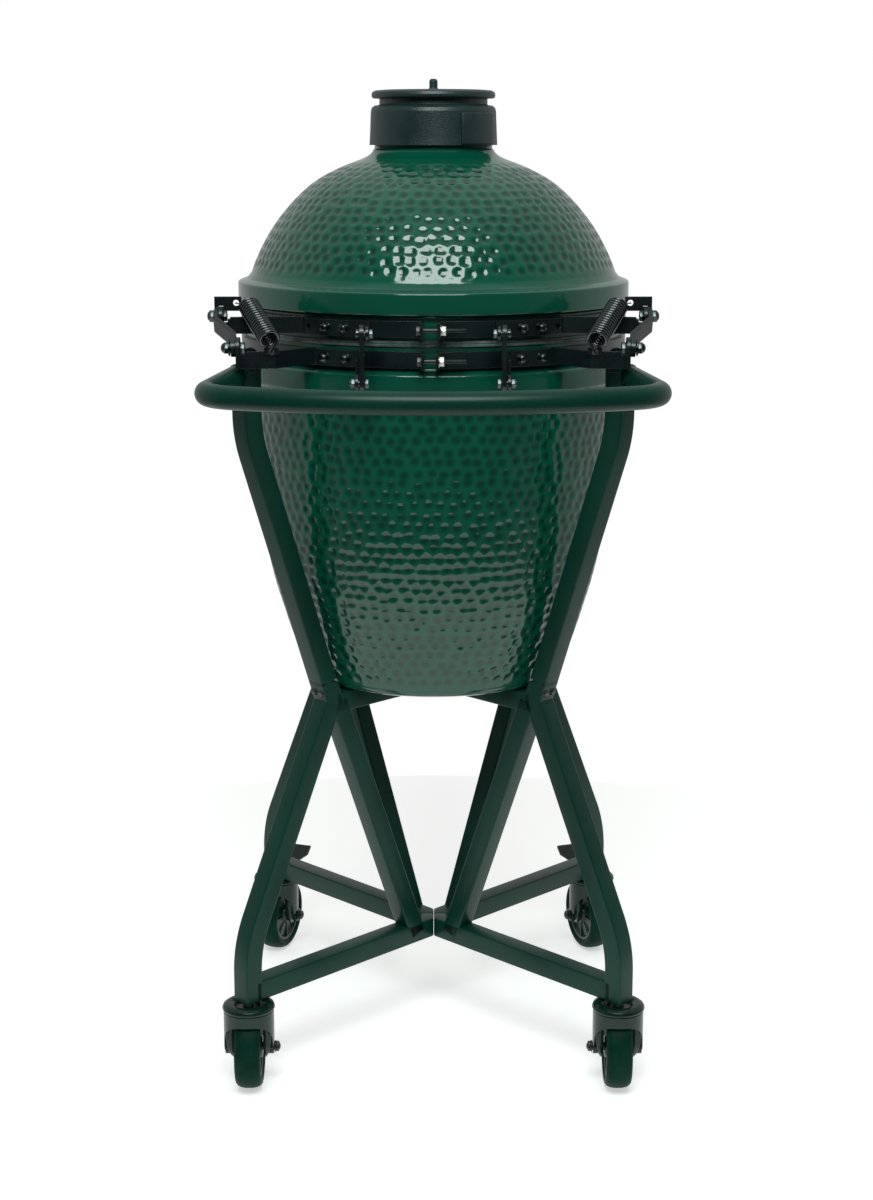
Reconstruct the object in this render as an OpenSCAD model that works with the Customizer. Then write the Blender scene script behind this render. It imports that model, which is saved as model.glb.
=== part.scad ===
// Kamado ceramic grill on a wheeled stand, seen with its hinge side towards -Y.
// Millimetres. Floor at z = 0, origin at the bottom centre of the bounding box.

/* [Ceramic] */
// Radius of the glazed flange round the lid
lid_flange_r = 238; // [230:0.5:245]
// Radius of the glazed flange round the base
base_flange_r = 237; // [230:0.5:244]
// Radius of the straight neck that each band grips
neck_r = 229; // [222:0.5:234]
// Outside radius of the lid's dome
dome_r = 235; // [225:0.5:240]
// Height of the centre of the dome's sphere
dome_z = 893; // [880:0.5:905]
// Height of the lid's lower edge
lid_edge_z = 907.5; // [905:0.1:912]
// Height of the base's upper edge
base_edge_z = 900.5; // [896:0.1:902]
// Height of the underside of the ceramic base
egg_bottom_z = 472.7; // [460:0.1:480]
// Radius of the chimney neck
chimney_r = 71; // [65:0.5:74]

/* [Bands] */
// Outside radius of both steel bands
band_r = 235; // [232:0.1:237]
// Bottom of the upper band
upper_band_z = 911.6; // [909:0.1:915]
// Height of the upper band
upper_band_h = 18.4; // [15:0.1:20]
// Bottom of the lower band
lower_band_z = 877; // [875.5:0.1:880]
// Height of the lower band
lower_band_h = 19; // [15:0.1:20]

/* [Hinge] */
// Distance of the lid's pivot behind the egg's axis
pivot_back = 250; // [240:0.5:256]
// Height of the lid's pivot
pivot_z = 902; // [898:0.5:906]
// Distance of the stay bolts behind the egg's axis
stay_back = 262; // [258:0.5:266]
// Height of the lower stay bolts
stay_low_z = 864; // [858:0.5:868]
// Height of the upper stay bolts
stay_high_z = 919; // [915:0.5:922]
// Radius of the free accessory holes
free_hole_r = 3.3; // [2.5:0.1:4]

/* [Stand] */
// Side of the square tube
tube_w = 25; // [20:0.5:30]
// Distance of each leg's foot from the egg's axis
foot_rho = 316; // [300:1:330]
// Lean of the legs from vertical, in degrees
leg_lean = 25.8; // [20:0.1:30]
// Lean of the upper arms from vertical, in degrees
arm_lean = 19.7; // [15:0.1:25]
// Distance of the arm tops from the egg's axis
arm_rho = 300; // [285:1:310]
// Height of the arm tops
arm_top_z = 877; // [860:1:885]
// Height of the underside of the foot bars
foot_z = 113; // [105:1:125]
// Radius of the round push handle tube
handle_r = 12.7; // [10:0.1:16]
// Height of the push handle's centre line
handle_z = 866; // [850:1:875]

/* [Casters] */
// Radius of the wheels
wheel_r = 50; // [45:0.5:52]
// Distance between the swivel axis and the wheel axle
trail = 8; // [4:0.5:12]
// Swivel of the two front casters, in degrees
front_swivel = 20; // [0:1:45]

/* [Cap] */
// Radius of the cast cap at its lower edge
cap_r = 77.2; // [74:0.1:80]
// Radius of the turning disc on the cap
disc_r = 74.5; // [70:0.1:78]

/* [Hidden] */
$fn = 96;

// The push handle reaches further back than the lid handle reaches forward.
grip_reach = 325;
grip_r = 14;
bow_mid = 454.3;
egg_y = (bow_mid + handle_r - grip_reach - grip_r) / 2;

half_w = tube_w / 2;
foot_s = foot_rho / sqrt(2);
bend_leg = 145;
bend_arm = 150;
// Where the lean of a leg meets the lean of an arm
knee = [180.2, 464.1];
leg_bend_z = knee[1] - (foot_rho - knee[0]) / tan(leg_lean) - bend_leg * tan(leg_lean / 2);
leg_path = concat([[foot_rho, foot_z]], arc(foot_rho - bend_leg, leg_bend_z, bend_leg, 0, leg_lean), [knee]);
seam_t = 25.4;
arm_dir = [sin(arm_lean), cos(arm_lean)];
arm_bend_end_z = knee[1] + (arm_rho - knee[0]) / tan(arm_lean) + bend_arm * tan(arm_lean / 2);
arm_path = concat([knee + (seam_t + 0.5) * arm_dir],
  arc(arm_rho - bend_arm, arm_bend_end_z, bend_arm, -arm_lean, 0), [[arm_rho, arm_top_z]]);
// Distance from the egg's axis to the pointed end of each bar
hub_gap = 0.4;
plate_in = band_r + 0.3;
plate_out = band_r + 4.3;
// Where the cutters of the bands' and brackets' radial holes start, and their length
hole_from = 215;
hole_long = 40;

// Bolt that joins the lid's brackets to its arms
anchor_back = 200;
anchor_z = 933;
// Outside and inside of the dome, and the lean of the thermometer on it
dome_in_r = 208;
dome_points = [for (a = [19.4 : 4 : 51.4]) [dome_r * cos(a), dome_z + dome_r * sin(a)]];
dome_inside = [for (a = [57.6 : -4 : 13.6]) [dome_in_r * cos(a), dome_z + dome_in_r * sin(a)]];
gauge_tilt = 24.4;

c_glaze = [0.05, 0.27, 0.2];
c_powder = [0.08, 0.2, 0.18];
c_black = [0.08, 0.1, 0.1];
c_zinc = [0.75, 0.75, 0.72];
c_steel = [0.7, 0.7, 0.7];
c_cast = [0.1, 0.14, 0.13];
c_brick = [0.75, 0.68, 0.58];
c_felt = [0.4, 0.45, 0.42];
c_rubber = [0.05, 0.06, 0.06];
c_plastic = [0.06, 0.08, 0.08];
c_glass = [0.8, 0.9, 0.9, 0.35];

// Shift from the egg's axis to the row's origin.
module place() {
  translate([0, egg_y, 0]) children();
}

// Both sides: children drawn at +X and mirrored to -X.
module both() {
  children();
  mirror([1, 0, 0]) children();
}

// Put children on the egg's rear circle at angle a towards +X, +Z pointing outwards.
module rear_radial(a, z) {
  rotate([0, 0, a]) translate([0, 0, z]) rotate([90, 0, 0]) children();
}

// Turn children drawn along radius +X to one of the four corners.
module corner(sx, sy) {
  rotate([0, 0, atan2(sy, sx)]) children();
}

// Points along an arc round [cx, cz], from angle a0 to a1.
function arc(cx, cz, r, a0, a1) = [for (i = [0 : 8])
  let (a = a0 + (a1 - a0) * i / 8) [cx + r * cos(a), cz + r * sin(a)]];

// Outline of a strip of half width w that follows the points p, with mitred corners.
function unit(v) = v / norm(v);
function side(v) = [-v[1], v[0]];
function seg(p, i) = unit(p[i + 1] - p[i]);
function lean(p, i) = let (a = side(seg(p, max(i - 1, 0))), b = side(seg(p, min(i, len(p) - 2))))
  (a + b) / (1 + a * b);
function strip(p, w) = concat(
  [for (i = [0 : len(p) - 1]) p[i] + w * lean(p, i)],
  [for (i = [len(p) - 1 : -1 : 0]) p[i] - w * lean(p, i)]);

// Strip in the plane of radius and height, t thick.
module blade(p, w, t) {
  rotate([90, 0, 0]) linear_extrude(t, center = true) polygon(strip(p, w));
}

// Bar with a pointed end at the hub, lying along the radius.
module hub_bar(z, reach) {
  translate([0, 0, z]) linear_extrude(tube_w)
    polygon([[hub_gap, 0], [hub_gap + half_w, half_w], [reach, half_w], [reach, -half_w],
      [hub_gap + half_w, -half_w]]);
}

// Sector of a ring centred on angle a0, from radius r1 to r2.
module arc_plate(a0, a, r1, r2, z, h) {
  translate([0, 0, z]) rotate([0, 0, a0 - a / 2])
    rotate_extrude(angle = a) translate([r1, 0]) square([r2 - r1, h]);
}

// Straight round bar between two points.
module rod(p, q, r) {
  d = q - p;
  translate(p) rotate([0, acos(d[2] / norm(d)), atan2(d[1], d[0])]) cylinder(r = r, h = norm(d));
}

// Hexagon prism.
module hex(r, h) {
  cylinder(r = r, h = h, $fn = 6);
}

/* ---- stand ---- */

module screw_places() {
  translate([knee[0], 0, knee[1]]) rotate([0, arm_lean, 0])
    for (s = [-6.5, 6.5]) translate([half_w, s, 16]) rotate([0, 90, 0]) children();
}

module stand_frame(sx, sy) {
  color(c_powder) place() corner(sx, sy) difference() {
    union() {
      hub_bar(foot_z, foot_rho - 3);
      hub_bar(egg_bottom_z - tube_w, 178);
      blade(concat(leg_path, [knee + seam_t * arm_dir]), half_w, tube_w);
      blade([[40.3, 125], [172.1, 460]], half_w, tube_w);
    }
    screw_places() translate([0, 0, -9]) cylinder(r = 2.1, h = 12);
  }
}

module arm(sx, sy) {
  color(c_powder) place() corner(sx, sy) blade(arm_path, half_w, tube_w);
}

module frame_rear_left() { stand_frame(-1, -1); }
module frame_rear_right() { stand_frame(1, -1); }
module frame_front_left() { stand_frame(-1, 1); }
module frame_front_right() { stand_frame(1, 1); }
module arm_rear_left() { arm(-1, -1); }
module arm_rear_right() { arm(1, -1); }
module arm_front_left() { arm(-1, 1); }
module arm_front_right() { arm(1, 1); }

module arm_screws() {
  color(c_black) place() for (sx = [-1, 1], sy = [-1, 1]) corner(sx, sy) screw_places() {
    translate([0, 0, -8]) cylinder(r = 2, h = 8.1);
    translate([0, 0, 0]) cylinder(r1 = 4.6, r2 = 3, h = 2.6);
  }
}

module arm_caps() {
  color(c_plastic) place() for (sx = [-1, 1], sy = [-1, 1]) corner(sx, sy)
    translate([arm_rho, 0, arm_top_z]) union() {
      translate([-half_w, -half_w, 0]) cube([tube_w, tube_w, 1.6]);
      translate([-half_w + 1.5, -half_w + 1.5, 1.6]) cube([tube_w - 3, tube_w - 3, 1.4]);
    }
}

module arm_tabs() {
  color(c_black) place() both() difference() {
    union() {
      translate([197, -226, 872]) cube([19, 4, 22]);
      translate([206.5, -222, 890.5]) rotate([90, 0, 0]) cylinder(r = 9.5, h = 4);
    }
    corner(1, -1) translate([arm_rho - half_w - 0.1, -half_w - 0.1, 800])
      cube([tube_w + 0.2, tube_w + 0.2, 80.1]);
    translate([206.5, -200, 891]) rotate([90, 0, 0]) cylinder(r = free_hole_r, h = 50);
  }
}

// Thin weld collar round the handle where two stretches of tube meet.
module collar(p, a) {
  translate(p) rotate([0, 0, a]) rotate([0, 90, 0]) cylinder(r = handle_r + 0.6, h = 8, center = true);
}

module handle_solid() {
  bow_r = 519;
  end_r = 50;
  end_c = [190.8, -363.4];
  bow_a = asin(end_c[0] / (bow_r - end_r));
  side_a = 6.6;
  translate([0, bow_r - bow_mid, handle_z]) rotate([0, 0, -90 - bow_a])
    rotate_extrude(angle = 2 * bow_a) translate([bow_r, 0]) circle(r = handle_r);
  both() {
    translate([end_c[0], end_c[1], handle_z]) rotate([0, 0, -90 + bow_a])
      rotate_extrude(angle = 90 - bow_a + side_a) translate([end_r, 0]) circle(r = handle_r);
    side_start = [end_c[0] + end_r * cos(side_a), end_c[1] + end_r * sin(side_a), handle_z];
    rod(side_start, [222.5, -202, handle_z], handle_r);
    collar(side_start, 90 + side_a);
    collar([end_c[0] + end_r * sin(bow_a), end_c[1] - end_r * cos(bow_a), handle_z], bow_a);
  }
}

module push_handle() {
  color(c_powder) place() difference() {
    handle_solid();
    both() corner(1, -1) translate([200, -120, 700]) cube([arm_rho + half_w - 200, 240, 300]);
  }
}

module caster_stems() {
  color(c_zinc) place() for (sx = [-1, 1], sy = [-1, 1])
    translate([sx * foot_s, sy * foot_s, 102]) cylinder(r = 6, h = foot_z - 102);
}

/* ---- ceramic base and what it holds ---- */

module base_shell() {
  color(c_glaze) place() difference() {
    rotate_extrude() polygon([
      [0, egg_bottom_z], [152, egg_bottom_z], [160, 476], [164.5, 482], [170.5, 500],
      [181.7, 533], [190, 560], [198, 586.5], [206, 620], [214, 660], [220.3, 700],
      [225, 740], [228.3, 780], [230, 820], [230.5, 842],
      [232, 844.5], [base_flange_r - 1, 846.5], [base_flange_r, 848.5], [base_flange_r, 867],
      [base_flange_r - 1.5, 870.5], [neck_r + 2, 873.5], [neck_r, 875.5], [neck_r, base_edge_z],
      [203, base_edge_z], [203, 840], [201, 780], [196, 720], [188, 660], [172, 590],
      [160, 540], [146, 503], [0, 503]]);
    translate([-42, 90, 516]) cube([84, 140, 58]);
  }
}

module base_gasket() {
  color(c_felt) place() translate([0, 0, base_edge_z]) difference() {
    cylinder(r = 231, h = 3.4);
    translate([0, 0, -1]) cylinder(r = 206, h = 6);
  }
}

module fire_box() {
  color(c_brick) place() difference() {
    rotate_extrude() polygon([[100, 503], [138, 503], [160, 590], [178, 690], [183, 760],
      [165, 760], [160, 700], [144, 600], [124, 574], [124, 565], [108, 562], [100, 530]]);
    translate([-44, 60, 511]) cube([88, 120, 49]);
  }
}

module fire_ring() {
  color(c_brick) place() translate([0, 0, 760]) difference() {
    cylinder(r = 190, h = 90);
    translate([0, 0, -1]) cylinder(r = 168, h = 92);
  }
}

module fire_grate() {
  color(c_cast) place() translate([0, 0, 565]) difference() {
    cylinder(r = 121, h = 8);
    for (i = [-4 : 4]) translate([i * 22 - 5, -sqrt(104 * 104 - i * i * 484), -1])
      cube([10, 2 * sqrt(104 * 104 - i * i * 484), 10]);
  }
}

module cooking_grid() {
  color(c_steel) place() translate([0, 0, 853.4]) union() {
    rotate_extrude() translate([186, 0]) circle(r = 3);
    for (i = [-7 : 7]) translate([i * 23, -sqrt(185 * 185 - i * i * 529), 0])
      rotate([-90, 0, 0]) cylinder(r = 2.5, h = 2 * sqrt(185 * 185 - i * i * 529));
    translate([-185, 0, -1]) rotate([0, 90, 0]) cylinder(r = 2.5, h = 370);
  }
}

/* ---- draught door at the front of the base ---- */

module draft_frame() {
  color(c_steel) place() difference() {
    union() {
      arc_plate(90, 78, 199, 201, 506, 78);
      arc_plate(90, 78, 200.9, 209, 506, 3.5);
      arc_plate(90, 78, 200.9, 209, 580.5, 3.5);
      arc_plate(90, 78, 207.2, 209, 509.4, 5);
      arc_plate(90, 78, 207.2, 209, 575.6, 5);
      for (a = [51.4, 128.6]) arc_plate(a, 0.8, 200.9, 209, 509.4, 71.2);
      intersection() {
        translate([-41.5, 162, 516.5]) cube([83, 50, 57]);
        cylinder(r = 200.4, h = 600);
      }
    }
    translate([-38, 140, 520]) cube([76, 80, 50]);
  }
}

module draft_door() {
  color(c_steel) place() union() {
    arc_plate(90, 25, 204.6, 206.2, 510.6, 68.8);
    translate([0, 205.9, 545]) rotate([-90, 0, 0]) cylinder(r = 5, h = 10);
    translate([0, 214, 545]) rotate([-90, 0, 0]) cylinder(r = 8, h = 4);
  }
}

module draft_screen() {
  color(c_steel) place() difference() {
    union() {
      arc_plate(90.7, 26.4, 202, 203.6, 510.6, 68.8);
      arc_plate(103.4, 1, 202, 212, 530, 30);
    }
    for (i = [-5 : 5]) rotate([0, 0, i * 1.9]) translate([-2, 195, 522]) cube([4, 9, 46]);
  }
}

/* ---- bands ---- */

module band(z, h, x1, x2) {
  difference() {
    union() {
      translate([0, 0, z]) cylinder(r = band_r, h = h);
      for (x = [x1 - 3, x2]) translate([x, -257, z]) cube([3, 32, h]);
    }
    translate([0, 0, z - 1]) cylinder(r = neck_r + 0.3, h = h + 2);
    translate([x1, -270, z - 1]) cube([x2 - x1, 60, h + 2]);
    translate([-40, -247, z + h / 2]) rotate([0, 90, 0]) cylinder(r = 3.2, h = 80);
  }
}

module band_bolt(z, x1, x2) {
  translate([x1 - 8.5, -247, z]) rotate([0, 90, 0]) hex(6.2, 5.4);
  translate([x1 - 3.2, -247, z]) rotate([0, 90, 0]) cylinder(r = 3, h = 40.5 - x1);
  translate([x2 + 3.1, -247, z]) rotate([0, 90, 0]) hex(6.4, 6);
}

module lower_band() {
  color(c_black) place() difference() {
    band(lower_band_z, lower_band_h, -10, 3);
    for (a = [-31, -24.5, 24.5, 31]) rear_radial(a, 886.8)
      translate([0, 0, hole_from]) cylinder(r = 3.1, h = hole_long);
  }
}

module upper_band() {
  color(c_black) place() difference() {
    band(upper_band_z, upper_band_h, -11, 5);
    for (a = [-30.6, -24.9, 24.9, 30.6]) rear_radial(a, 921)
      translate([0, 0, hole_from]) cylinder(r = 3.1, h = hole_long);
    for (a = [-19.6, 19.6]) rotate([0, 0, 180]) rear_radial(a, 921) translate([0, 0, hole_from])
      cylinder(r = 3.1, h = hole_long);
  }
}

module lower_band_bolt() {
  color(c_zinc) place() band_bolt(lower_band_z + lower_band_h / 2, -10, 3);
}

module upper_band_bolt() {
  color(c_zinc) place() band_bolt(upper_band_z + upper_band_h / 2, -11, 5);
}

/* ---- hinge, fixed to the base ---- */

module hinge_base_brackets() {
  color(c_black) place() both() difference() {
    union() {
      arc_plate(-90 + 27.4, 16.2, plate_in, plate_out, lower_band_z + 1, lower_band_h - 1);
      translate([0, 0, 879]) linear_extrude(19) polygon(strip([[135.5, -197.2], [177, -248], [217, -250]], 2));
      translate([172, -251.8, 895]) cube([16, 4, 7.3]);
      translate([215, -262, 881]) cube([4, 26, 21]);
      translate([215, -pivot_back, pivot_z]) rotate([0, 90, 0]) cylinder(r = 12, h = 4);
      translate([83, -stay_back, 857]) cube([3.4, 39.6, 33]);
      translate([83, -stay_back, stay_low_z]) rotate([0, 90, 0]) cylinder(r = 9, h = 3.4);
    }
    translate([200, -pivot_back, pivot_z]) rotate([0, 90, 0]) cylinder(r = 4.05, h = 40);
    translate([60, -stay_back, stay_low_z]) rotate([0, 90, 0]) cylinder(r = 4.05, h = 40);
    translate([180, -230, 897.5]) rotate([90, 0, 0]) cylinder(r = 3.5, h = 40);
    translate([208.9, -pivot_back, pivot_z]) rotate([0, 90, 0]) cylinder(r = 7.6, h = 6.1);
    for (a = [24.5, 31]) rear_radial(a, 886.8) translate([0, 0, hole_from]) cylinder(r = 3.1, h = hole_long);
  }
}

module hinge_base_bolts() {
  color(c_black) place() both() {
    for (a = [24.5, 31]) rear_radial(a, 886.8) {
      translate([0, 0, neck_r + 1]) cylinder(r = 3, h = 12);
      translate([0, 0, plate_out + 0.2]) hex(6, 5);
    }
    translate([0, -pivot_back, pivot_z]) rotate([0, 90, 0]) {
      translate([0, 0, 209.4]) hex(7, 5.4);
      translate([0, 0, 214.6]) cylinder(r = 4, h = 12);
      translate([0, 0, 226.2]) cylinder(r = 9, h = 1.4);
      translate([0, 0, 227.6]) hex(7, 5);
      translate([0, 0, 232.5]) cylinder(r1 = 5.6, r2 = 2.5, h = 4);
    }
    translate([0, -stay_back, stay_low_z]) rotate([0, 90, 0]) {
      translate([0, 0, 71.4]) hex(6.2, 4.6);
      translate([0, 0, 75.9]) cylinder(r = 4, h = 17);
      translate([0, 0, 86.6]) hex(6.4, 5);
    }
  }
}

module hinge_stays() {
  color(c_black) place() both() translate([76.5, 0, 0]) difference() {
    union() {
      translate([0, -stay_back, stay_low_z]) rotate([0, 90, 0]) cylinder(r = 10, h = 5);
      translate([0, -stay_back, stay_high_z]) rotate([0, 90, 0]) cylinder(r = 10, h = 5);
      translate([0, -stay_back - 10, stay_low_z]) cube([5, 20, stay_high_z - stay_low_z]);
    }
    translate([-1, -stay_back, stay_low_z]) rotate([0, 90, 0]) cylinder(r = 4.05, h = 7);
    translate([-1, -stay_back, stay_high_z]) rotate([0, 90, 0]) cylinder(r = 5.1, h = 7);
    translate([-1, -stay_back, stay_high_z - 21]) rotate([0, 90, 0]) cylinder(r = 5.1, h = 7);
    translate([-1, -stay_back - 5.1, stay_high_z - 21]) cube([7, 10.2, 21]);
  }
}

/* ---- hinge, fixed to the lid ---- */

module hinge_lid_brackets() {
  color(c_black) place() both() difference() {
    union() {
      arc_plate(-90 + 28.2, 22, plate_in, plate_out, upper_band_z + 0.4, upper_band_h - 0.4);
      translate([0, 0, 913]) linear_extrude(19) polygon(strip([[148.4, -187.4], [238.2, -anchor_back]], 2));
      translate([238, -anchor_back - 7.5, 913]) cube([4, 18.5, 20]);
      translate([238, -anchor_back, anchor_z]) rotate([0, 90, 0]) cylinder(r = 11, h = 4);
      translate([71.4, -stay_back, 910.5]) cube([3.4, 37.2, 17]);
      translate([71.4, -stay_back, stay_high_z]) rotate([0, 90, 0]) cylinder(r = 8.5, h = 3.4);
    }
    translate([230, -anchor_back, anchor_z]) rotate([0, 90, 0]) cylinder(r = 4.05, h = 20);
    translate([232.9, -anchor_back, anchor_z]) rotate([0, 90, 0]) cylinder(r = 7.2, h = 5.1);
    translate([60, -stay_back, stay_high_z]) rotate([0, 90, 0]) cylinder(r = 3.6, h = 20);
    for (a = [24.9, 30.6]) rear_radial(a, 921) translate([0, 0, hole_from]) cylinder(r = 3.1, h = hole_long);
    rear_radial(36.4, 921) translate([0, 0, hole_from]) cylinder(r = free_hole_r, h = hole_long);
  }
}

module hinge_arms() {
  reach = norm([pivot_back - anchor_back, anchor_z - pivot_z]);
  tilt = atan2(anchor_z - pivot_z, pivot_back - anchor_back);
  color(c_black) place() both() difference() {
    union() {
      translate([0, -pivot_back, pivot_z]) rotate([tilt, 0, 0]) intersection() {
        translate([0, 0, -10]) linear_extrude(20)
          polygon([[219.7, -12], [224.7, -12], [224.7, 14], [247.5, reach - 16], [247.5, reach + 12],
            [242.5, reach + 12], [242.5, reach - 14.2], [219.7, 15.8]]);
        union() {
          translate([210, 0, 0]) rotate([0, 90, 0]) cylinder(r = 10, h = 50);
          translate([210, reach, 0]) rotate([0, 90, 0]) cylinder(r = 10, h = 50);
          translate([210, 0, -10]) cube([50, reach, 20]);
        }
      }
      translate([217, -anchor_back - 2, 939]) cube([20.4, 4, 16]);
      translate([217, -anchor_back - 2, 944.6]) cube([30.5, 4, 10.4]);
      translate([242.5, -anchor_back - 2, 935]) cube([5, 4, 20]);
    }
    translate([200, -pivot_back, pivot_z]) rotate([0, 90, 0]) cylinder(r = 4.06, h = 40);
    translate([230, -anchor_back, anchor_z]) rotate([0, 90, 0]) cylinder(r = 4.05, h = 40);
    translate([223, -190, 948]) rotate([90, 0, 0]) cylinder(r = 3.5, h = 20);
  }
}

module lid_bolts() {
  color(c_black) place() {
    both() {
      for (a = [24.9, 30.6]) rear_radial(a, 921) {
        translate([0, 0, neck_r + 1]) cylinder(r = 3, h = 12);
        translate([0, 0, plate_out + 0.2]) hex(6, 5);
      }
      translate([0, -anchor_back, anchor_z]) rotate([0, 90, 0]) {
        translate([0, 0, 233.4]) hex(6.5, 4.4);
        translate([0, 0, 237.6]) cylinder(r = 4, h = 10.2);
        translate([0, 0, 247.7]) hex(7.5, 5.5);
        translate([0, 0, 253]) cylinder(r1 = 5.5, r2 = 3, h = 3);
      }
      translate([0, -stay_back, stay_high_z]) rotate([0, 90, 0]) {
        translate([0, 0, 66.6]) hex(6, 4.6);
        translate([0, 0, 71.1]) cylinder(r = 3.5, h = 15.2);
        translate([0, 0, 82.2]) cylinder(r = 5.4, h = 3.4);
      }
      rotate([0, 0, 180]) rear_radial(19.6, 921) {
        translate([0, 0, neck_r + 1]) cylinder(r = 3, h = 12);
        translate([0, 0, plate_out + 0.2]) cylinder(r1 = 6, r2 = 4, h = 3);
      }
      translate([0, grip_reach, 930]) rotate([0, 90, 0]) {
        translate([0, 0, 54]) cylinder(r = 3, h = 19);
        translate([0, 0, 72.2]) cylinder(r1 = 6.5, r2 = 5, h = 4);
      }
    }
  }
}

module lid_springs() {
  color(c_black) place() both() {
    low = [180, -262, 911];
    high = [210, -201, 947];
    d = high - low;
    translate(low) rotate([0, acos(d[2] / norm(d)), atan2(d[1], d[0])]) difference() {
      union() {
        cylinder(r = 10, h = 74);
        for (i = [0 : 15]) translate([0, 0, 3 + i * 4.55])
          rotate_extrude($fn = 48) translate([10.3, 0]) circle(r = 2.1, $fn = 24);
      }
      translate([0, 0, 2]) cylinder(r = 8, h = 70);
    }
    rod(low + [2, 4, 2], [180, -257, 897.5], 1.9);
    rod([180, -258, 897.5], [180, -242, 897.5], 1.9);
    rod(high - [4, 9, 4], [223, -207, 948], 1.9);
    rod([223, -208, 948], [223, -195, 948], 1.9);
  }
}

/* ---- lid ---- */

module gauge_place() {
  translate([0, dome_r * cos(gauge_tilt), dome_z + dome_r * sin(gauge_tilt)])
    rotate([gauge_tilt - 90, 0, 0]) children();
}

module lid_dome() {
  color(c_glaze) place() difference() {
    rotate_extrude() polygon(concat(
      [[203, lid_edge_z], [neck_r, lid_edge_z], [neck_r, 933.5], [neck_r + 2, 935.2],
       [lid_flange_r - 1.6, 935.8], [lid_flange_r, 937.6], [lid_flange_r, 957.5],
       [lid_flange_r - 1.2, 960], [lid_flange_r - 4, 961.8], [227, 964.6], [223.6, 967.6]],
      dome_points,
      [[133, 1083.6], [115.4, 1093.7], [100, 1100.2], [88, 1104.6], [80.3, 1108.2],
       [75.2, 1112], [72.6, 1116], [chimney_r, 1121], [chimney_r, 1150],
       [52, 1150], [52, 1092], [58, 1084], [80, 1079]],
      dome_inside));
    gauge_place() translate([0, 0, -70]) cylinder(r = 6, h = 100);
  }
}

module lid_gasket() {
  color(c_felt) place() translate([0, 0, lid_edge_z - 3.4]) difference() {
    cylinder(r = 231, h = 3.4);
    translate([0, 0, -1]) cylinder(r = 206, h = 6);
  }
}

module lid_handle_brackets() {
  color(c_black) place() both() difference() {
    union() {
      rotate([0, 0, 180]) mirror([1, 0, 0]) arc_plate(-90 + 18.4, 8.6, plate_in, plate_out, 912.4, 17);
      translate([66.2, 228.6, 914]) cube([5, grip_reach - 228.6, 14]);
      translate([66.2, grip_reach, 930]) rotate([0, 90, 0]) cylinder(r = 16, h = 5);
      translate([66.2, grip_reach - 20, 914]) cube([5, 20, 14]);
    }
    translate([60, grip_reach, 930]) rotate([0, 90, 0]) cylinder(r = 3.2, h = 20);
    rotate([0, 0, 180]) rear_radial(-19.6, 921) translate([0, 0, hole_from]) cylinder(r = 3.1, h = hole_long);
    translate([0, 0, 900]) cylinder(r = plate_in, h = 50);
  }
}

module lid_handle_grip() {
  color(c_plastic) place() translate([0, grip_reach, 930]) rotate([0, 90, 0]) difference() {
    translate([0, 0, -66]) rotate_extrude() polygon([[0, 0], [11, 0], [13.4, 1.4], [grip_r, 4],
      [grip_r, 128], [13.4, 130.6], [11, 132], [0, 132]]);
    for (z = [-67, 50]) translate([0, 0, z]) cylinder(r = 3.2, h = 17);
  }
}

module thermometer_case() {
  color(c_steel) place() gauge_place() rotate_extrude() polygon([[0, -60], [4.5, -60], [4.5, 1],
    [24, 1], [27, 3], [27.5, 5], [27.5, 13], [26.6, 14], [23.6, 14], [23.6, 12.6], [24.6, 12.4],
    [24.6, 4], [1, 4], [1, 8], [0, 8]]);
}

module thermometer_lens() {
  color(c_glass) place() gauge_place() translate([0, 0, 10.6]) cylinder(r = 24.4, h = 1.7);
}

module thermometer_needle() {
  color([0.7, 0.1, 0.05]) place() gauge_place() translate([0, 0, 5.4]) rotate([0, 0, 215]) difference() {
    union() {
      cylinder(r = 2.6, h = 1.6);
      linear_extrude(0.8) polygon([[-1.2, -5], [1.2, -5], [0.3, 19], [-0.3, 19]]);
    }
    translate([0, 0, -1]) cylinder(r = 1.06, h = 4);
  }
}

/* ---- cap ---- */

module cap_body() {
  color(c_cast) place() difference() {
    union() {
      rotate_extrude() polygon([[chimney_r + 0.8, 1121.4], [cap_r, 1121.4], [cap_r - 0.5, 1130],
        [75.4, 1161], [74.2, 1165], [71, 1167.6], [66, 1168.2], [65, 1169], [65, 1175.6],
        [4, 1175.6], [4, 1182], [0, 1182], [0, 1170], [58, 1170], [60, 1151.5], [chimney_r + 0.8, 1151.5]]);
      arc_plate(-90 + 45, 26, 75, 79.4, 1122.5, 36);
    }
    translate([0, 0, 1120]) cylinder(r = chimney_r + 0.8, h = 31.5);
    for (a = [0 : 72 : 288]) rotate([0, 0, a]) translate([36, 0, 1160]) cylinder(r = 12, h = 30);
  }
}

module cap_disc() {
  color(c_cast) place() difference() {
    rotate_extrude() polygon([[0, 1176], [72.5, 1176], [74.2, 1177.6], [disc_r, 1180], [73.6, 1183.2],
      [70, 1185.2], [60, 1186], [6.6, 1186.4], [5, 1188.4], [5, 1196.4], [3.8, 1198.4], [2, 1199], [0, 1199]]);
    translate([0, 0, 1170]) cylinder(r = 4.06, h = 12.4);
    for (a = [36 : 72 : 324]) rotate([0, 0, a]) translate([36, 0, 1160]) cylinder(r = 12, h = 40);
  }
}

/* ---- casters ---- */

module caster_place(sx, sy) {
  place() translate([sx * foot_s, sy * foot_s, 0])
    rotate([0, 0, sy > 0 ? sx * front_swivel : 0]) children();
}

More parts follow.
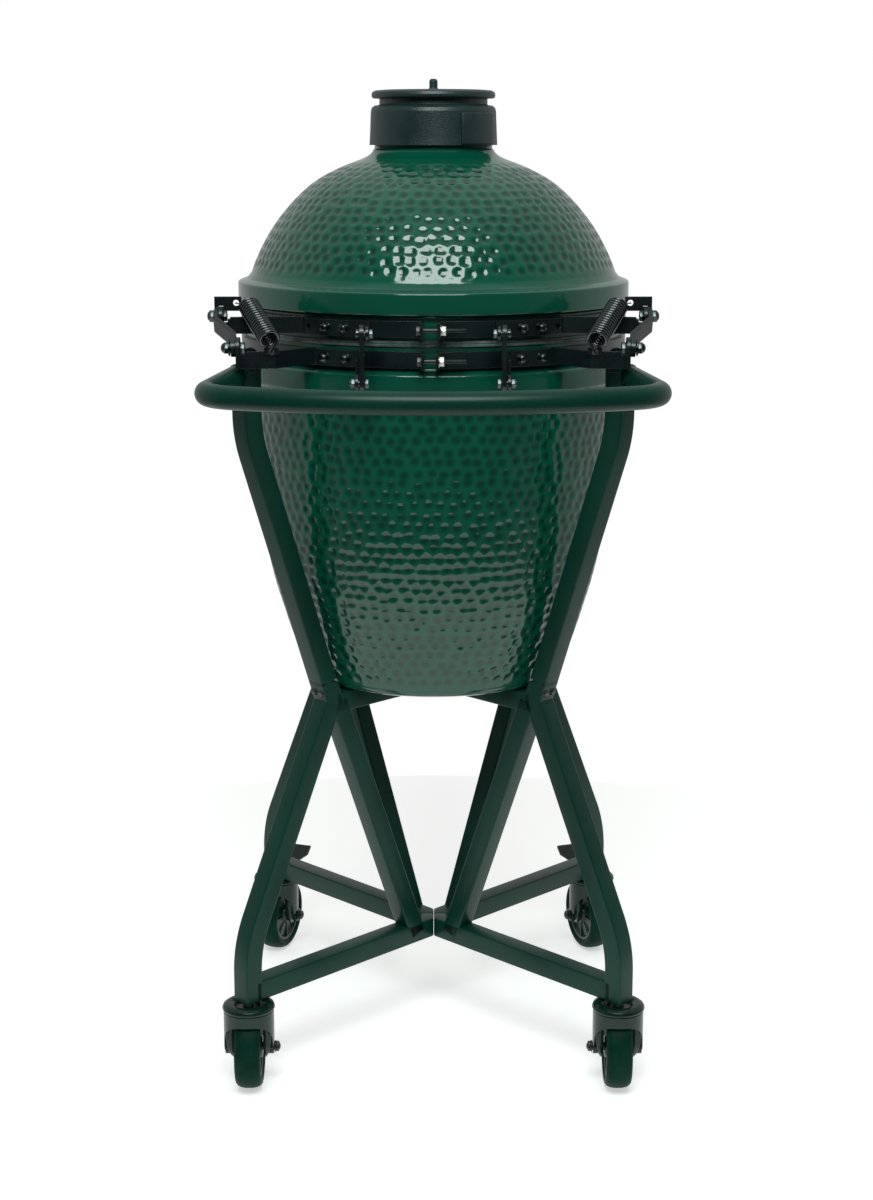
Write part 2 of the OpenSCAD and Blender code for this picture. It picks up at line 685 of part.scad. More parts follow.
module fork(braked) {
  difference() {
    union() {
      intersection() {
        translate([0, 0, 30]) cylinder(r = 30.6, h = 74);
        union() {
          translate([-40, -40, 62]) cube([80, 80, 60]);
          translate([-40, trail, wheel_r]) rotate([0, 90, 0]) cylinder(r = 18, h = 80);
        }
      }
      rotate_extrude() polygon([[0, 103.8], [31, 103.8], [32, 104.6], [32, 107], [29, 109.6],
        [20, 111.4], [10, 112], [0, 112]]);
      if (braked) for (s = [-1, 1]) translate([s * 16.5 - 2.5, 24, 94.4]) cube([5, 13, 9.5]);
    }
    translate([-17.4, -27.5, 20]) cube([34.8, 55, 81.2]);
    translate([-17.4, -60, 20]) cube([34.8, 60, 55.6]);
    translate([0, -60, 75.6]) rotate([-90, 0, 0]) cylinder(r = 17.4, h = 60);
    translate([-17.4, 20, 20]) cube([34.8, 10.7, 78]);
    translate([0, 0, 95]) cylinder(r = 6.05, h = 20);
    translate([-40, trail, wheel_r]) rotate([0, 90, 0]) cylinder(r = 5.05, h = 80);
    if (braked) translate([-40, 33, 98]) rotate([0, 90, 0]) cylinder(r = 2.56, h = 80);
    if (braked) translate([-14, 27, 90]) cube([28, 12, 13.5]);
  }
}

module axle() {
  translate([0, trail, wheel_r]) rotate([0, 90, 0]) {
    translate([0, 0, -31]) cylinder(r = 5, h = 62);
    translate([0, 0, -36]) cylinder(r1 = 6, r2 = 9, h = 5.1);
    translate([0, 0, 30.9]) hex(9, 6);
  }
}

module core() {
  translate([0, trail, wheel_r]) rotate([0, 90, 0]) rotate_extrude() polygon([[5.06, -15.4], [13, -15.4],
    [14, -11], [32, -9], [34.5, -13], [37.8, -13.4], [37.8, 13.4], [34.5, 13], [32, 9], [14, 11],
    [13, 15.4], [5.06, 15.4]]);
}

module tyre() {
  translate([0, trail, wheel_r]) rotate([0, 90, 0]) rotate_extrude() polygon([[37.9, -13.6], [43, -15.8],
    [46, -16], [48.4, -14.2], [49.6, -11], [wheel_r, -6], [wheel_r, 6], [49.6, 11], [48.4, 14.2],
    [46, 16], [43, 15.8], [37.9, 13.6]]);
}

module pedal() {
  translate([-18.8, 33, 98]) rotate([0, 90, 0]) cylinder(r = 2.5, h = 37.6);
  translate([-13, 33, 98]) rotate([0, 90, 0]) cylinder(r = 4, h = 26);
  translate([0, 33, 98]) rotate([34.6, 0, 0]) linear_extrude(3.6)
    polygon([[-11, 0], [11, 0], [11, 26], [21, 38], [21, 52], [-21, 52], [-21, 38], [-11, 26]]);
}

module caster_fork_rear_left() { color(c_plastic) caster_place(-1, -1) fork(false); }
module caster_fork_rear_right() { color(c_plastic) caster_place(1, -1) fork(false); }
module caster_fork_front_left() { color(c_plastic) caster_place(-1, 1) fork(true); }
module caster_fork_front_right() { color(c_plastic) caster_place(1, 1) fork(true); }
module caster_axle_rear_left() { color(c_zinc) caster_place(-1, -1) axle(); }
module caster_axle_rear_right() { color(c_zinc) caster_place(1, -1) axle(); }
module caster_axle_front_left() { color(c_zinc) caster_place(-1, 1) axle(); }
module caster_axle_front_right() { color(c_zinc) caster_place(1, 1) axle(); }
module caster_core_rear_left() { color(c_plastic) caster_place(-1, -1) core(); }
module caster_core_rear_right() { color(c_plastic) caster_place(1, -1) core(); }
module caster_core_front_left() { color(c_plastic) caster_place(-1, 1) core(); }
module caster_core_front_right() { color(c_plastic) caster_place(1, 1) core(); }
module caster_tyre_rear_left() { color(c_rubber) caster_place(-1, -1) tyre(); }
module caster_tyre_rear_right() { color(c_rubber) caster_place(1, -1) tyre(); }
module caster_tyre_front_left() { color(c_rubber) caster_place(-1, 1) tyre(); }
module caster_tyre_front_right() { color(c_rubber) caster_place(1, 1) tyre(); }
module brake_pedal_left() { color(c_plastic) caster_place(-1, 1) pedal(); }
module brake_pedal_right() { color(c_plastic) caster_place(1, 1) pedal(); }

frame_rear_left();
frame_rear_right();
frame_front_left();
frame_front_right();
arm_rear_left();
arm_rear_right();
arm_front_left();
arm_front_right();
arm_screws();
arm_tabs();
arm_caps();
push_handle();
caster_stems();
base_shell();
base_gasket();
lower_band();
lower_band_bolt();
hinge_base_brackets();
hinge_base_bolts();
fire_box();
fire_ring();
fire_grate();
cooking_grid();
draft_frame();
draft_door();
draft_screen();
lid_springs();
lid_dome();
lid_gasket();
upper_band();
upper_band_bolt();
hinge_lid_brackets();
hinge_arms();
lid_bolts();
hinge_stays();
cap_body();
cap_disc();
lid_handle_grip();
lid_handle_brackets();
thermometer_case();
thermometer_lens();
thermometer_needle();
caster_fork_rear_left();
caster_axle_rear_left();
caster_core_rear_left();
caster_tyre_rear_left();
caster_fork_rear_right();
caster_axle_rear_right();
caster_core_rear_right();
caster_tyre_rear_right();
caster_fork_front_left();
caster_axle_front_left();
caster_core_front_left();
caster_tyre_front_left();
caster_fork_front_right();
caster_axle_front_right();
caster_core_front_right();
caster_tyre_front_right();
brake_pedal_left();
brake_pedal_right();
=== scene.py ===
"""Looks for a kamado ceramic grill on a wheeled cart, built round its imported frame.

The classes hold their sizes in millimetres, about the egg's own upright axis with
the floor at zero. Workshop.shift carries them to the frame's origin in metres.
"""
from __future__ import annotations

import logging
import math
from dataclasses import dataclass, field
from enum import Enum
from typing import Iterable, Sequence

import bmesh
import bpy
import numpy as np
from mathutils import Matrix, Vector

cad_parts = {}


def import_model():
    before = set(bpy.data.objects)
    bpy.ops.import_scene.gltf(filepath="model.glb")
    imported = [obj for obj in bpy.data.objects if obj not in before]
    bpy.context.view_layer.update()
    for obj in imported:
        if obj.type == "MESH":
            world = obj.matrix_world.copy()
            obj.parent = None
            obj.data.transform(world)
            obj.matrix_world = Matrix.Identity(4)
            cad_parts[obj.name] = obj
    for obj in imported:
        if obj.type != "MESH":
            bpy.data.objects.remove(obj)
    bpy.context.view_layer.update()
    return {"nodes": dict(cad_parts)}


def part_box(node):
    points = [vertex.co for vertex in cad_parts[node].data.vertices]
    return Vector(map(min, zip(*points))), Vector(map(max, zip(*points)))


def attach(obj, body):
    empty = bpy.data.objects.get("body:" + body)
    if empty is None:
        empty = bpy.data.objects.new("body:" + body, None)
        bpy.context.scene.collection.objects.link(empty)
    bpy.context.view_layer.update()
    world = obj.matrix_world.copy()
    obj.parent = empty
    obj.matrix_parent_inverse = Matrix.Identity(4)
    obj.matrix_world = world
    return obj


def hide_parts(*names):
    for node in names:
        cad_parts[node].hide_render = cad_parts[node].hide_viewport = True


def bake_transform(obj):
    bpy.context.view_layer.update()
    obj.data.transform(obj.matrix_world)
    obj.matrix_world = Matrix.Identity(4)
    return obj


LOG = logging.getLogger("grill")
Point = tuple[float, float]
Socket = bpy.types.NodeSocket
FULL_TURN = 2 * math.pi


def mm(value: float) -> float:
    """Turn millimetres into Blender's metres."""
    return value / 1000.0


def linear(code: str) -> tuple[float, float, float, float]:
    """Turn an sRGB hex colour into a linear one.

    Args:
        code: Six hex digits, with or without a leading hash.

    Returns:
        Linear red, green, blue and an alpha of one.
    """
    parts = [int(code.lstrip("#")[i:i + 2], 16) / 255 for i in (0, 2, 4)]
    lin = [c / 12.92 if c <= 0.04045 else ((c + 0.055) / 1.055) ** 2.4 for c in parts]
    return (lin[0], lin[1], lin[2], 1.0)


# ---------------------------------------------------------------- finishes


def add(tree: bpy.types.NodeTree, kind: str, settings: dict, inputs: dict) -> bpy.types.Node:
    """Add one node with its settings and links.

    Args:
        tree: The material's node tree.
        kind: Blender's name for the node.
        settings: Attributes of the node.
        inputs: Values or sockets for its inputs, by name or number.

    Returns:
        The new node.
    """
    made = tree.nodes.new(kind)
    for name, value in settings.items():
        setattr(made, name, value)
    for key, value in inputs.items():
        if isinstance(value, Socket):
            tree.links.new(value, made.inputs[key])
        else:
            made.inputs[key].default_value = value
    return made


class Pattern(Enum):
    """How the fine texture of a surface runs."""

    GRAIN = "even grain, as sprayed or moulded"
    BRUSHED = "long fine scratches along x"
    FIBRE = "tangled fibres"
    SAND = "rough sand-cast skin"


@dataclass(frozen=True)
class Finish:
    """One real finish: what it is made of and how its surface was made.

    Attributes:
        name: The finish in a maker's words.
        low: Colour of its darker patches.
        high: Colour of its lighter patches.
        edge: Colour where an edge has worn or the coat is thin.
        rough: Lowest and highest roughness.
        metallic: One for bare metal.
        grain_mm: Size of the fine texture.
        patch_mm: Size of the slow colour variation.
        relief_mm: Height of the fine texture.
        edge_mm: Rounding of hard edges; 0 for none.
        coat: Weight of a clear top layer.
        coat_rough: Roughness of that layer.
        sheen: Weight of a fibre sheen.
        ior: Index of refraction.
        clear: Transmission, for glass.
        pattern: How the texture runs.
    """

    name: str
    low: str
    high: str
    edge: str = ""
    rough: tuple[float, float] = (0.4, 0.5)
    metallic: float = 0.0
    grain_mm: float = 1.0
    patch_mm: float = 60.0
    relief_mm: float = 0.05
    edge_mm: float = 0.0
    coat: float = 0.0
    coat_rough: float = 0.1
    sheen: float = 0.0
    ior: float = 1.5
    clear: float = 0.0
    pattern: Pattern = Pattern.GRAIN

    def material(self) -> bpy.types.Material:
        """Make the material, or give back the one already made.

        Returns:
            The finish's only material.
        """
        known = bpy.data.materials.get(self.name)
        if known:
            return known
        made = bpy.data.materials.new(self.name)
        made.use_nodes = True
        tree = made.node_tree
        tree.nodes.clear()
        shader = add(tree, "ShaderNodeBsdfPrincipled", {}, {
            "Metallic": self.metallic, "IOR": self.ior, "Coat Weight": self.coat,
            "Coat Roughness": self.coat_rough, "Sheen Weight": self.sheen,
            "Sheen Roughness": 0.5, "Transmission Weight": self.clear})
        add(tree, "ShaderNodeOutputMaterial", {}, {"Surface": shader.outputs[0]})
        place = add(tree, "ShaderNodeTexCoord", {}, {}).outputs["Object"]
        self.paint(tree, shader, place)
        made.diffuse_color = linear(self.high)
        return made

    def texture(self, tree: bpy.types.NodeTree, place: Socket) -> Socket:
        """Add the fine texture.

        Args:
            tree: The material's node tree.
            place: Object coordinates.

        Returns:
            A socket from 0 to 1.
        """
        per_metre = 1000.0 / self.grain_mm
        if self.pattern is Pattern.BRUSHED:
            place = add(tree, "ShaderNodeMapping", {}, {0: place, "Scale": (0.03, 1.0, 1.0)}).outputs[0]
        if self.pattern is Pattern.FIBRE:
            waves = add(tree, "ShaderNodeTexNoise", {}, {
                "Vector": place, "Scale": per_metre, "Detail": 6.0, "Distortion": 2.5})
            return waves.outputs[0]
        if self.pattern is Pattern.SAND:
            cells = add(tree, "ShaderNodeTexVoronoi", {"feature": "SMOOTH_F1"}, {
                "Vector": place, "Scale": per_metre, "Smoothness": 0.6})
            noise = add(tree, "ShaderNodeTexNoise", {}, {
                "Vector": place, "Scale": per_metre * 0.7, "Detail": 5.0, "Roughness": 0.7})
            return add(tree, "ShaderNodeMath", {"operation": "MULTIPLY_ADD"}, {
                0: cells.outputs[0], 1: 0.6, 2: noise.outputs[0]}).outputs[0]
        return add(tree, "ShaderNodeTexNoise", {}, {
            "Vector": place, "Scale": per_metre, "Detail": 3.0, "Roughness": 0.55}).outputs[0]

    def paint(self, tree: bpy.types.NodeTree, shader: bpy.types.Node, place: Socket) -> None:
        """Colour, roughness and relief of the finish.

        Args:
            tree: The material's node tree.
            shader: Its surface shader.
            place: Object coordinates.
        """
        patch = add(tree, "ShaderNodeTexNoise", {}, {
            "Vector": place, "Scale": 1000.0 / self.patch_mm, "Detail": 4.0}).outputs[0]
        fine = self.texture(tree, place)
        both = add(tree, "ShaderNodeMath", {"operation": "MULTIPLY_ADD"}, {
            0: fine, 1: 0.35, 2: patch}).outputs[0]
        share = add(tree, "ShaderNodeMapRange", {}, {
            "Value": both, "From Min": 0.45, "From Max": 0.85}).outputs[0]
        colour = add(tree, "ShaderNodeMix", {"data_type": "RGBA"}, {
            0: share, 6: linear(self.low), 7: linear(self.high)}).outputs[2]
        normal_inputs: dict = {"Height": fine, "Distance": mm(self.relief_mm), "Strength": 1.0}
        if self.edge_mm:
            soft = add(tree, "ShaderNodeBevel", {"samples": 4}, {"Radius": mm(self.edge_mm)}).outputs[0]
            normal_inputs["Normal"] = soft
            if self.edge:
                flat = add(tree, "ShaderNodeNewGeometry", {}, {}).outputs["Normal"]
                same = add(tree, "ShaderNodeVectorMath", {"operation": "DOT_PRODUCT"}, {
                    0: soft, 1: flat}).outputs["Value"]
                worn = add(tree, "ShaderNodeMapRange", {}, {
                    "Value": same, "From Min": 0.985, "From Max": 0.9,
                    "To Min": 0.0, "To Max": 1.0}).outputs[0]
                broken = add(tree, "ShaderNodeMath", {"operation": "MULTIPLY"}, {
                    0: worn, 1: patch}).outputs[0]
                colour = add(tree, "ShaderNodeMix", {"data_type": "RGBA"}, {
                    0: broken, 6: colour, 7: linear(self.edge)}).outputs[2]
        bump = add(tree, "ShaderNodeBump", {}, normal_inputs)
        gloss = add(tree, "ShaderNodeMapRange", {}, {
            "Value": both, "From Min": 0.4, "From Max": 0.95,
            "To Min": self.rough[0], "To Max": self.rough[1]})
        tree.links.new(colour, shader.inputs["Base Color"])
        tree.links.new(gloss.outputs[0], shader.inputs["Roughness"])
        tree.links.new(bump.outputs[0], shader.inputs["Normal"])


@dataclass(frozen=True)
class Glaze(Finish):
    """Kiln-fired glaze over dimpled clay.

    Attributes:
        pool: Colour where it pools in the bottom of a hollow.
        thin: Colour where it runs thin on the ridges.
    """

    pool: str = "#043527"
    thin: str = "#0A523E"

    def paint(self, tree: bpy.types.NodeTree, shader: bpy.types.Node, place: Socket) -> None:
        """Colour from the depth of each hollow, and a faint orange peel in the gloss.

        Args:
            tree: The material's node tree.
            shader: Its surface shader.
            place: Object coordinates.
        """
        depth = add(tree, "ShaderNodeAttribute", {"attribute_name": "hollow"}, {}).outputs["Fac"]
        patch = add(tree, "ShaderNodeTexNoise", {}, {
            "Vector": place, "Scale": 1000.0 / self.patch_mm, "Detail": 5.0}).outputs[0]
        peel = add(tree, "ShaderNodeTexNoise", {}, {
            "Vector": place, "Scale": 1000.0 / self.grain_mm, "Detail": 2.0}).outputs[0]
        slow = add(tree, "ShaderNodeMath", {"operation": "MULTIPLY_ADD"}, {
            0: patch, 1: 0.5, 2: -0.25}).outputs[0]
        mixed = add(tree, "ShaderNodeMath", {"operation": "ADD"}, {0: depth, 1: slow}).outputs[0]
        colour = linear(self.thin)
        for start, end, code in ((0.0, 0.25, self.high), (0.25, 0.7, self.low), (0.7, 1.0, self.pool)):
            share = add(tree, "ShaderNodeMapRange", {}, {
                "Value": mixed, "From Min": start, "From Max": end}).outputs[0]
            colour = add(tree, "ShaderNodeMix", {"data_type": "RGBA"}, {
                0: share, 6: colour, 7: linear(code)}).outputs[2]
        bump = add(tree, "ShaderNodeBump", {}, {
            "Height": peel, "Distance": mm(self.relief_mm), "Strength": 1.0})
        gloss = add(tree, "ShaderNodeMapRange", {}, {
            "Value": patch, "To Min": self.rough[0], "To Max": self.rough[1]})
        tree.links.new(colour, shader.inputs["Base Color"])
        tree.links.new(gloss.outputs[0], shader.inputs["Roughness"])
        tree.links.new(bump.outputs[0], shader.inputs["Normal"])
        tree.links.new(bump.outputs[0], shader.inputs["Coat Normal"])


# Lead-free transparent green glaze: wet-looking gloss, deep colour.
GLAZE = Glaze("glazed_ceramic_green", low="#044031", high="#064B3B", rough=(0.10, 0.16),
              grain_mm=7.0, patch_mm=90.0, relief_mm=0.03, coat=0.2, coat_rough=0.04, ior=1.48)
# Polyester powder coat: satin, with a very fine orange peel.
POWDER = Finish("powder_coat_green", low="#062E26", high="#083A2F", edge="#12493F", rough=(0.28, 0.36),
                grain_mm=2.4, patch_mm=120.0, relief_mm=0.03, ior=1.3)
# Stamped steel with an electrophoretic black coat.
BLACK = Finish("black_coated_steel", low="#081012", high="#101A1C", edge="#2A3637", rough=(0.24, 0.36),
               grain_mm=1.6, patch_mm=40.0, relief_mm=0.03, edge_mm=0.8)
# Black zinc plate on bolts: darker and glossier than the coated steel.
PLATED = Finish("black_zinc_plate", low="#33393B", high="#565D60", rough=(0.2, 0.34), metallic=1.0,
                grain_mm=1.2, patch_mm=8.0, relief_mm=0.01, edge_mm=0.4)
# Oil-tempered spring wire under black gloss paint.
WIRE = Finish("black_spring_wire", low="#0A1114", high="#121B1E", rough=(0.14, 0.22),
              grain_mm=1.5, patch_mm=25.0, relief_mm=0.01, coat=0.8, coat_rough=0.08)
# Zinc plate: bright, slightly cloudy.
ZINC = Finish("bright_zinc_plate", low="#8F8E88", high="#C4C3BE", rough=(0.22, 0.4), metallic=1.0,
              grain_mm=1.2, patch_mm=9.0, relief_mm=0.01, edge_mm=0.5)
# Needled felt strip, grey-green.
FELT = Finish("needled_felt", low="#2C3A39", high="#5E6E6D", rough=(0.9, 1.0), grain_mm=1.8,
              patch_mm=14.0, relief_mm=0.7, sheen=0.4, pattern=Pattern.FIBRE)
# Unglazed cordierite.
CLAY = Finish("fired_clay", low="#A8957B", high="#D3C4AC", rough=(0.85, 0.95), grain_mm=2.5,
              patch_mm=45.0, relief_mm=0.25, pattern=Pattern.SAND)
# Sand-cast grey iron with a baked dark coat.
IRON = Finish("sand_cast_iron", low="#0D2021", high="#172E2E", edge="#37504F", rough=(0.32, 0.46),
              grain_mm=1.7, patch_mm=35.0, relief_mm=0.22, edge_mm=1.0, pattern=Pattern.SAND)
# Drawn 304 stainless steel, linished.
STEEL = Finish("linished_stainless", low="#8F908E", high="#C3C4C1", rough=(0.24, 0.38), metallic=1.0,
               grain_mm=0.9, patch_mm=50.0, relief_mm=0.015, edge_mm=0.4, pattern=Pattern.BRUSHED)
# Tempered window of the thermometer.
WINDOW = Finish("clear_glass", low="#FFFFFF", high="#FFFFFF", rough=(0.0, 0.03), relief_mm=0.0,
                ior=1.5, clear=1.0)
# Pointer lacquer.
LACQUER = Finish("red_lacquer", low="#8E0F0C", high="#B8201A", rough=(0.3, 0.4), coat=0.4)
# Enamelled dial.
DIAL = Finish("white_enamel", low="#DCDCD4", high="#F4F4EE", rough=(0.3, 0.4), relief_mm=0.01)
# Printing on the dial.
INK = Finish("black_ink", low="#0B0B0B", high="#151515", rough=(0.5, 0.6), relief_mm=0.0)
# Glass-filled nylon, fine spark texture.
NYLON = Finish("glass_filled_nylon", low="#0B1110", high="#161D1B", rough=(0.42, 0.55), grain_mm=1.2,
               patch_mm=50.0, relief_mm=0.06, edge_mm=0.8)
# Polypropylene caster housing: dark green-black, a little shiny.
HOUSING = Finish("polypropylene_housing", low="#051D17", high="#08281F", edge="#153D34", rough=(0.16, 0.26),
                 grain_mm=2.0, patch_mm=60.0, relief_mm=0.02, edge_mm=1.2, ior=1.42)
# Wheel core, moulded in the same colour.
CORE = Finish("polypropylene_core", low="#08251F", high="#0C2F28", rough=(0.3, 0.42), grain_mm=1.6,
              patch_mm=40.0, relief_mm=0.03, edge_mm=0.8)
# Thermoplastic rubber tread, scuffed where it rolls.
TREAD = Finish("rubber_tread", low="#04241B", high="#063428", rough=(0.42, 0.58), grain_mm=1.6,
               patch_mm=18.0, relief_mm=0.05, ior=1.14)

# Finish of each frame node that keeps its own shape.
KEPT: dict[str, Finish] = {
    "arm_tabs": BLACK, "lower_band": BLACK, "upper_band": BLACK,
    "hinge_base_brackets": BLACK, "hinge_lid_brackets": BLACK, "hinge_arms": BLACK,
    "hinge_stays": BLACK,
    "lower_band_bolt": ZINC, "upper_band_bolt": ZINC, "caster_stems": ZINC,
    "fire_box": CLAY, "fire_ring": CLAY, "fire_grate": IRON, "cooking_grid": STEEL,
    "draft_frame": STEEL, "draft_door": STEEL, "draft_screen": STEEL,
    "lid_handle_brackets": BLACK, "thermometer_needle": LACQUER, "thermometer_lens": WINDOW,
    "brake_pedal_left": HOUSING, "brake_pedal_right": HOUSING, "arm_screws": BLACK,
    "base_gasket": FELT, "lid_gasket": FELT, "cap_body": IRON, "cap_disc": IRON,
}


# ---------------------------------------------------------------- workshop


class Shape:
    """Static helpers that start and shape meshes with Blender's own operators."""

    @staticmethod
    def fillet(points: Sequence[Point], radius: float, steps: int = 4, closed: bool = False) -> list[Point]:
        """Round the corners of an outline.

        Args:
            points: Corners in order.
            radius: Rounding, made smaller on short sides.
            steps: Flats in each rounding.
            closed: Whether the outline returns to its start.

        Returns:
            The outline with an arc in place of each corner.
        """
        count = len(points)
        made: list[Point] = []
        for i, corner in enumerate(points):
            here = Vector(corner)
            if not closed and i in (0, count - 1):
                made.append(tuple(here))
                continue
            before = Vector(points[i - 1]) - here
            after = Vector(points[(i + 1) % count]) - here
            bend = math.pi - before.angle(after)
            if bend < 0.05:
                made.append(tuple(here))
                continue
            cut = min(radius * math.tan(bend / 2), before.length * 0.45, after.length * 0.45)
            start, end = here + before.normalized() * cut, here + after.normalized() * cut
            for k in range(steps + 1):
                t = k / steps
                made.append(tuple(start * (1 - t) ** 2 + here * 2 * t * (1 - t) + end * t ** 2))
        return made

    @staticmethod
    def turned(profile: Sequence[Point], steps: int = 96, closed: bool = False) -> bmesh.types.BMesh:
        """Spin a profile about the z axis.

        Args:
            profile: Radius and height of each point, in millimetres.
            steps: Flats round the turn.
            closed: Whether the profile is a loop clear of the axis.

        Returns:
            The turned mesh, in metres.
        """
        bm = bmesh.new()
        ring = [bm.verts.new((mm(r), 0.0, mm(z))) for r, z in profile]
        edges = [bm.edges.new(pair) for pair in zip(ring, ring[1:])]
        if closed:
            edges.append(bm.edges.new((ring[-1], ring[0])))
        bmesh.ops.spin(bm, geom=ring + edges, cent=(0, 0, 0), axis=(0, 0, 1), dvec=(0, 0, 0),
                       angle=FULL_TURN, steps=steps, use_merge=True)
        bmesh.ops.remove_doubles(bm, verts=bm.verts, dist=1e-7)
        bmesh.ops.recalc_face_normals(bm, faces=bm.faces)
        return bm

    @staticmethod
    def slab(outline: Sequence[Point], height: float, edge: float, segments: int = 3) -> bmesh.types.BMesh:
        """Extrude an outline upwards and round its edges.

        Args:
            outline: Corners in the xy plane, in millimetres.
            height: Thickness.
            edge: Rounding of every edge.
            segments: Flats in the rounding.

        Returns:
            The slab, standing on z = 0.
        """
        bm = bmesh.new()
        face = bm.faces.new([bm.verts.new((mm(x), mm(y), 0.0)) for x, y in outline])
        grown = bmesh.ops.extrude_face_region(bm, geom=[face])
        up = [v for v in grown["geom"] if isinstance(v, bmesh.types.BMVert)]
        bmesh.ops.translate(bm, verts=up, vec=(0, 0, mm(height)))
        bmesh.ops.recalc_face_normals(bm, faces=bm.faces)
        if edge:
            hard = [e for e in bm.edges if e.calc_face_angle(0.0) > 0.5]
            Shape.round_edges(bm, hard, edge, segments)
        return bm

    @staticmethod
    def round_edges(bm: bmesh.types.BMesh, edges: Iterable[bmesh.types.BMEdge], offset: float,
                    segments: int = 3) -> None:
        """Bevel the given edges by an offset in millimetres."""
        bmesh.ops.bevel(bm, geom=list(edges), offset=mm(offset), offset_type="OFFSET", segments=segments,
                        profile=0.5, affect="EDGES", clamp_overlap=True, material=-1)

    @staticmethod
    def hexagon(across: float, height: float) -> bmesh.types.BMesh:
        """A bolt head or nut with its corners turned off, standing on z = 0.

        Args:
            across: Distance across its flats, in millimetres.
            height: Its height.

        Returns:
            The hexagon's mesh.
        """
        corner = mm(across) / math.sqrt(3)
        bm = bmesh.new()
        bmesh.ops.create_cone(bm, cap_ends=True, segments=6, radius1=corner, radius2=corner, depth=mm(height))
        bmesh.ops.translate(bm, verts=bm.verts, vec=(0, 0, mm(height) / 2))
        rims = [e for e in bm.edges if e.calc_face_angle(0.0) > 0.5]
        Shape.round_edges(bm, rims, across * 0.05, 2)
        return bm

    @staticmethod
    def join(parts: Sequence[bmesh.types.BMesh]) -> bmesh.types.BMesh:
        """Put several meshes into the first one.

        Args:
            parts: The meshes; all but the first are used up.

        Returns:
            The first mesh, with all of them in it.
        """
        first = parts[0]
        for other in parts[1:]:
            spare = bpy.data.meshes.new("spare")
            other.to_mesh(spare)
            first.from_mesh(spare)
            bpy.data.meshes.remove(spare)
            other.free()
        return first


class Bender:
    """Draws a hollow tube along straights, bends and mitres, starting from its section."""

    def __init__(self, section: Sequence[Point], start: Sequence[float], along: Sequence[float],
                 across: Sequence[float]) -> None:
        """Lay the section at the start of the tube.

        Args:
            section: Outline of the tube, in millimetres.
            start: Centre of the first end.
            along: Direction of the tube.
            across: Direction of the section's x.
        """
        self.bm = bmesh.new()
        self.here = Vector(start)
        self.along = Vector(along).normalized()
        side = Vector(across).normalized()
        up = self.along.cross(side)
        ring = [self.bm.verts.new((self.here + side * x + up * y) / 1000.0) for x, y in section]
        self.loop = [self.bm.edges.new((a, b)) for a, b in zip(ring, ring[1:] + ring[:1])]

    @staticmethod
    def square(width: float, corner: float = 2.3) -> list[Point]:
        """Section of a square tube with rounded corners."""
        h = width / 2
        return Shape.fillet([(-h, -h), (h, -h), (h, h), (-h, h)], corner, 4, closed=True)

    @staticmethod
    def round(radius: float, count: int = 32) -> list[Point]:
        """Section of a round tube or wire."""
        return [(radius * math.cos(FULL_TURN * i / count), radius * math.sin(FULL_TURN * i / count))
                for i in range(count)]

    def straight(self, length: float, cuts: int = 1) -> "Bender":
        """Draw a straight stretch.

        Args:
            length: Its length, in millimetres.
            cuts: How many equal lengths it is drawn in.

        Returns:
            The bender, for the next stretch.
        """
        for _ in range(cuts):
            grown = bmesh.ops.extrude_edge_only(self.bm, edges=self.loop)["geom"]
            verts = [v for v in grown if isinstance(v, bmesh.types.BMVert)]
            bmesh.ops.translate(self.bm, verts=verts, vec=self.along * mm(length / cuts))
            self.loop = [e for e in grown if isinstance(e, bmesh.types.BMEdge)]
        self.here += self.along * length
        return self

    def bend(self, radius: float, degrees: float, toward: Sequence[float], steps: int = 12) -> "Bender":
        """Bend the tube.

        Args:
            radius: Radius of the centre line.
            degrees: Angle of the bend.
            toward: Direction from the tube to the bend's centre.
            steps: Flats along the bend.

        Returns:
            The bender, for the next stretch.
        """
        inward = Vector(toward).normalized()
        centre = self.here + inward * radius
        axis = self.along.cross(inward)
        verts = list({v for e in self.loop for v in e.verts})
        done = bmesh.ops.spin(self.bm, geom=verts + self.loop, cent=centre / 1000.0, axis=axis,
                              dvec=(0, 0, 0), angle=math.radians(degrees), steps=steps, use_merge=False)
        self.loop = [e for e in done["geom_last"] if isinstance(e, bmesh.types.BMEdge)]
        turn = Matrix.Rotation(math.radians(degrees), 3, axis)
        self.here = centre + turn @ (self.here - centre)
        self.along = turn @ self.along
        return self

    def mitre(self, along: Sequence[float]) -> "Bender":
        """Turn sharply: cut the end on the bisecting plane and set off in a new direction.

        Args:
            along: The new direction.

        Returns:
            The bender, for the next stretch.
        """
        new = Vector(along).normalized()
        plane = (self.along + new).normalized()
        for vert in {v for e in self.loop for v in e.verts}:
            off = (vert.co - self.here / 1000.0).dot(plane) / self.along.dot(plane)
            vert.co -= self.along * off
        self.along = new
        return self

    def capped(self) -> bmesh.types.BMesh:
        """Close both ends.

        Returns:
            The finished mesh.
        """
        open_edges = [e for e in self.bm.edges if e.is_boundary]
        bmesh.ops.holes_fill(self.bm, edges=open_edges, sides=0)
        bmesh.ops.recalc_face_normals(self.bm, faces=self.bm.faces)
        return self.bm


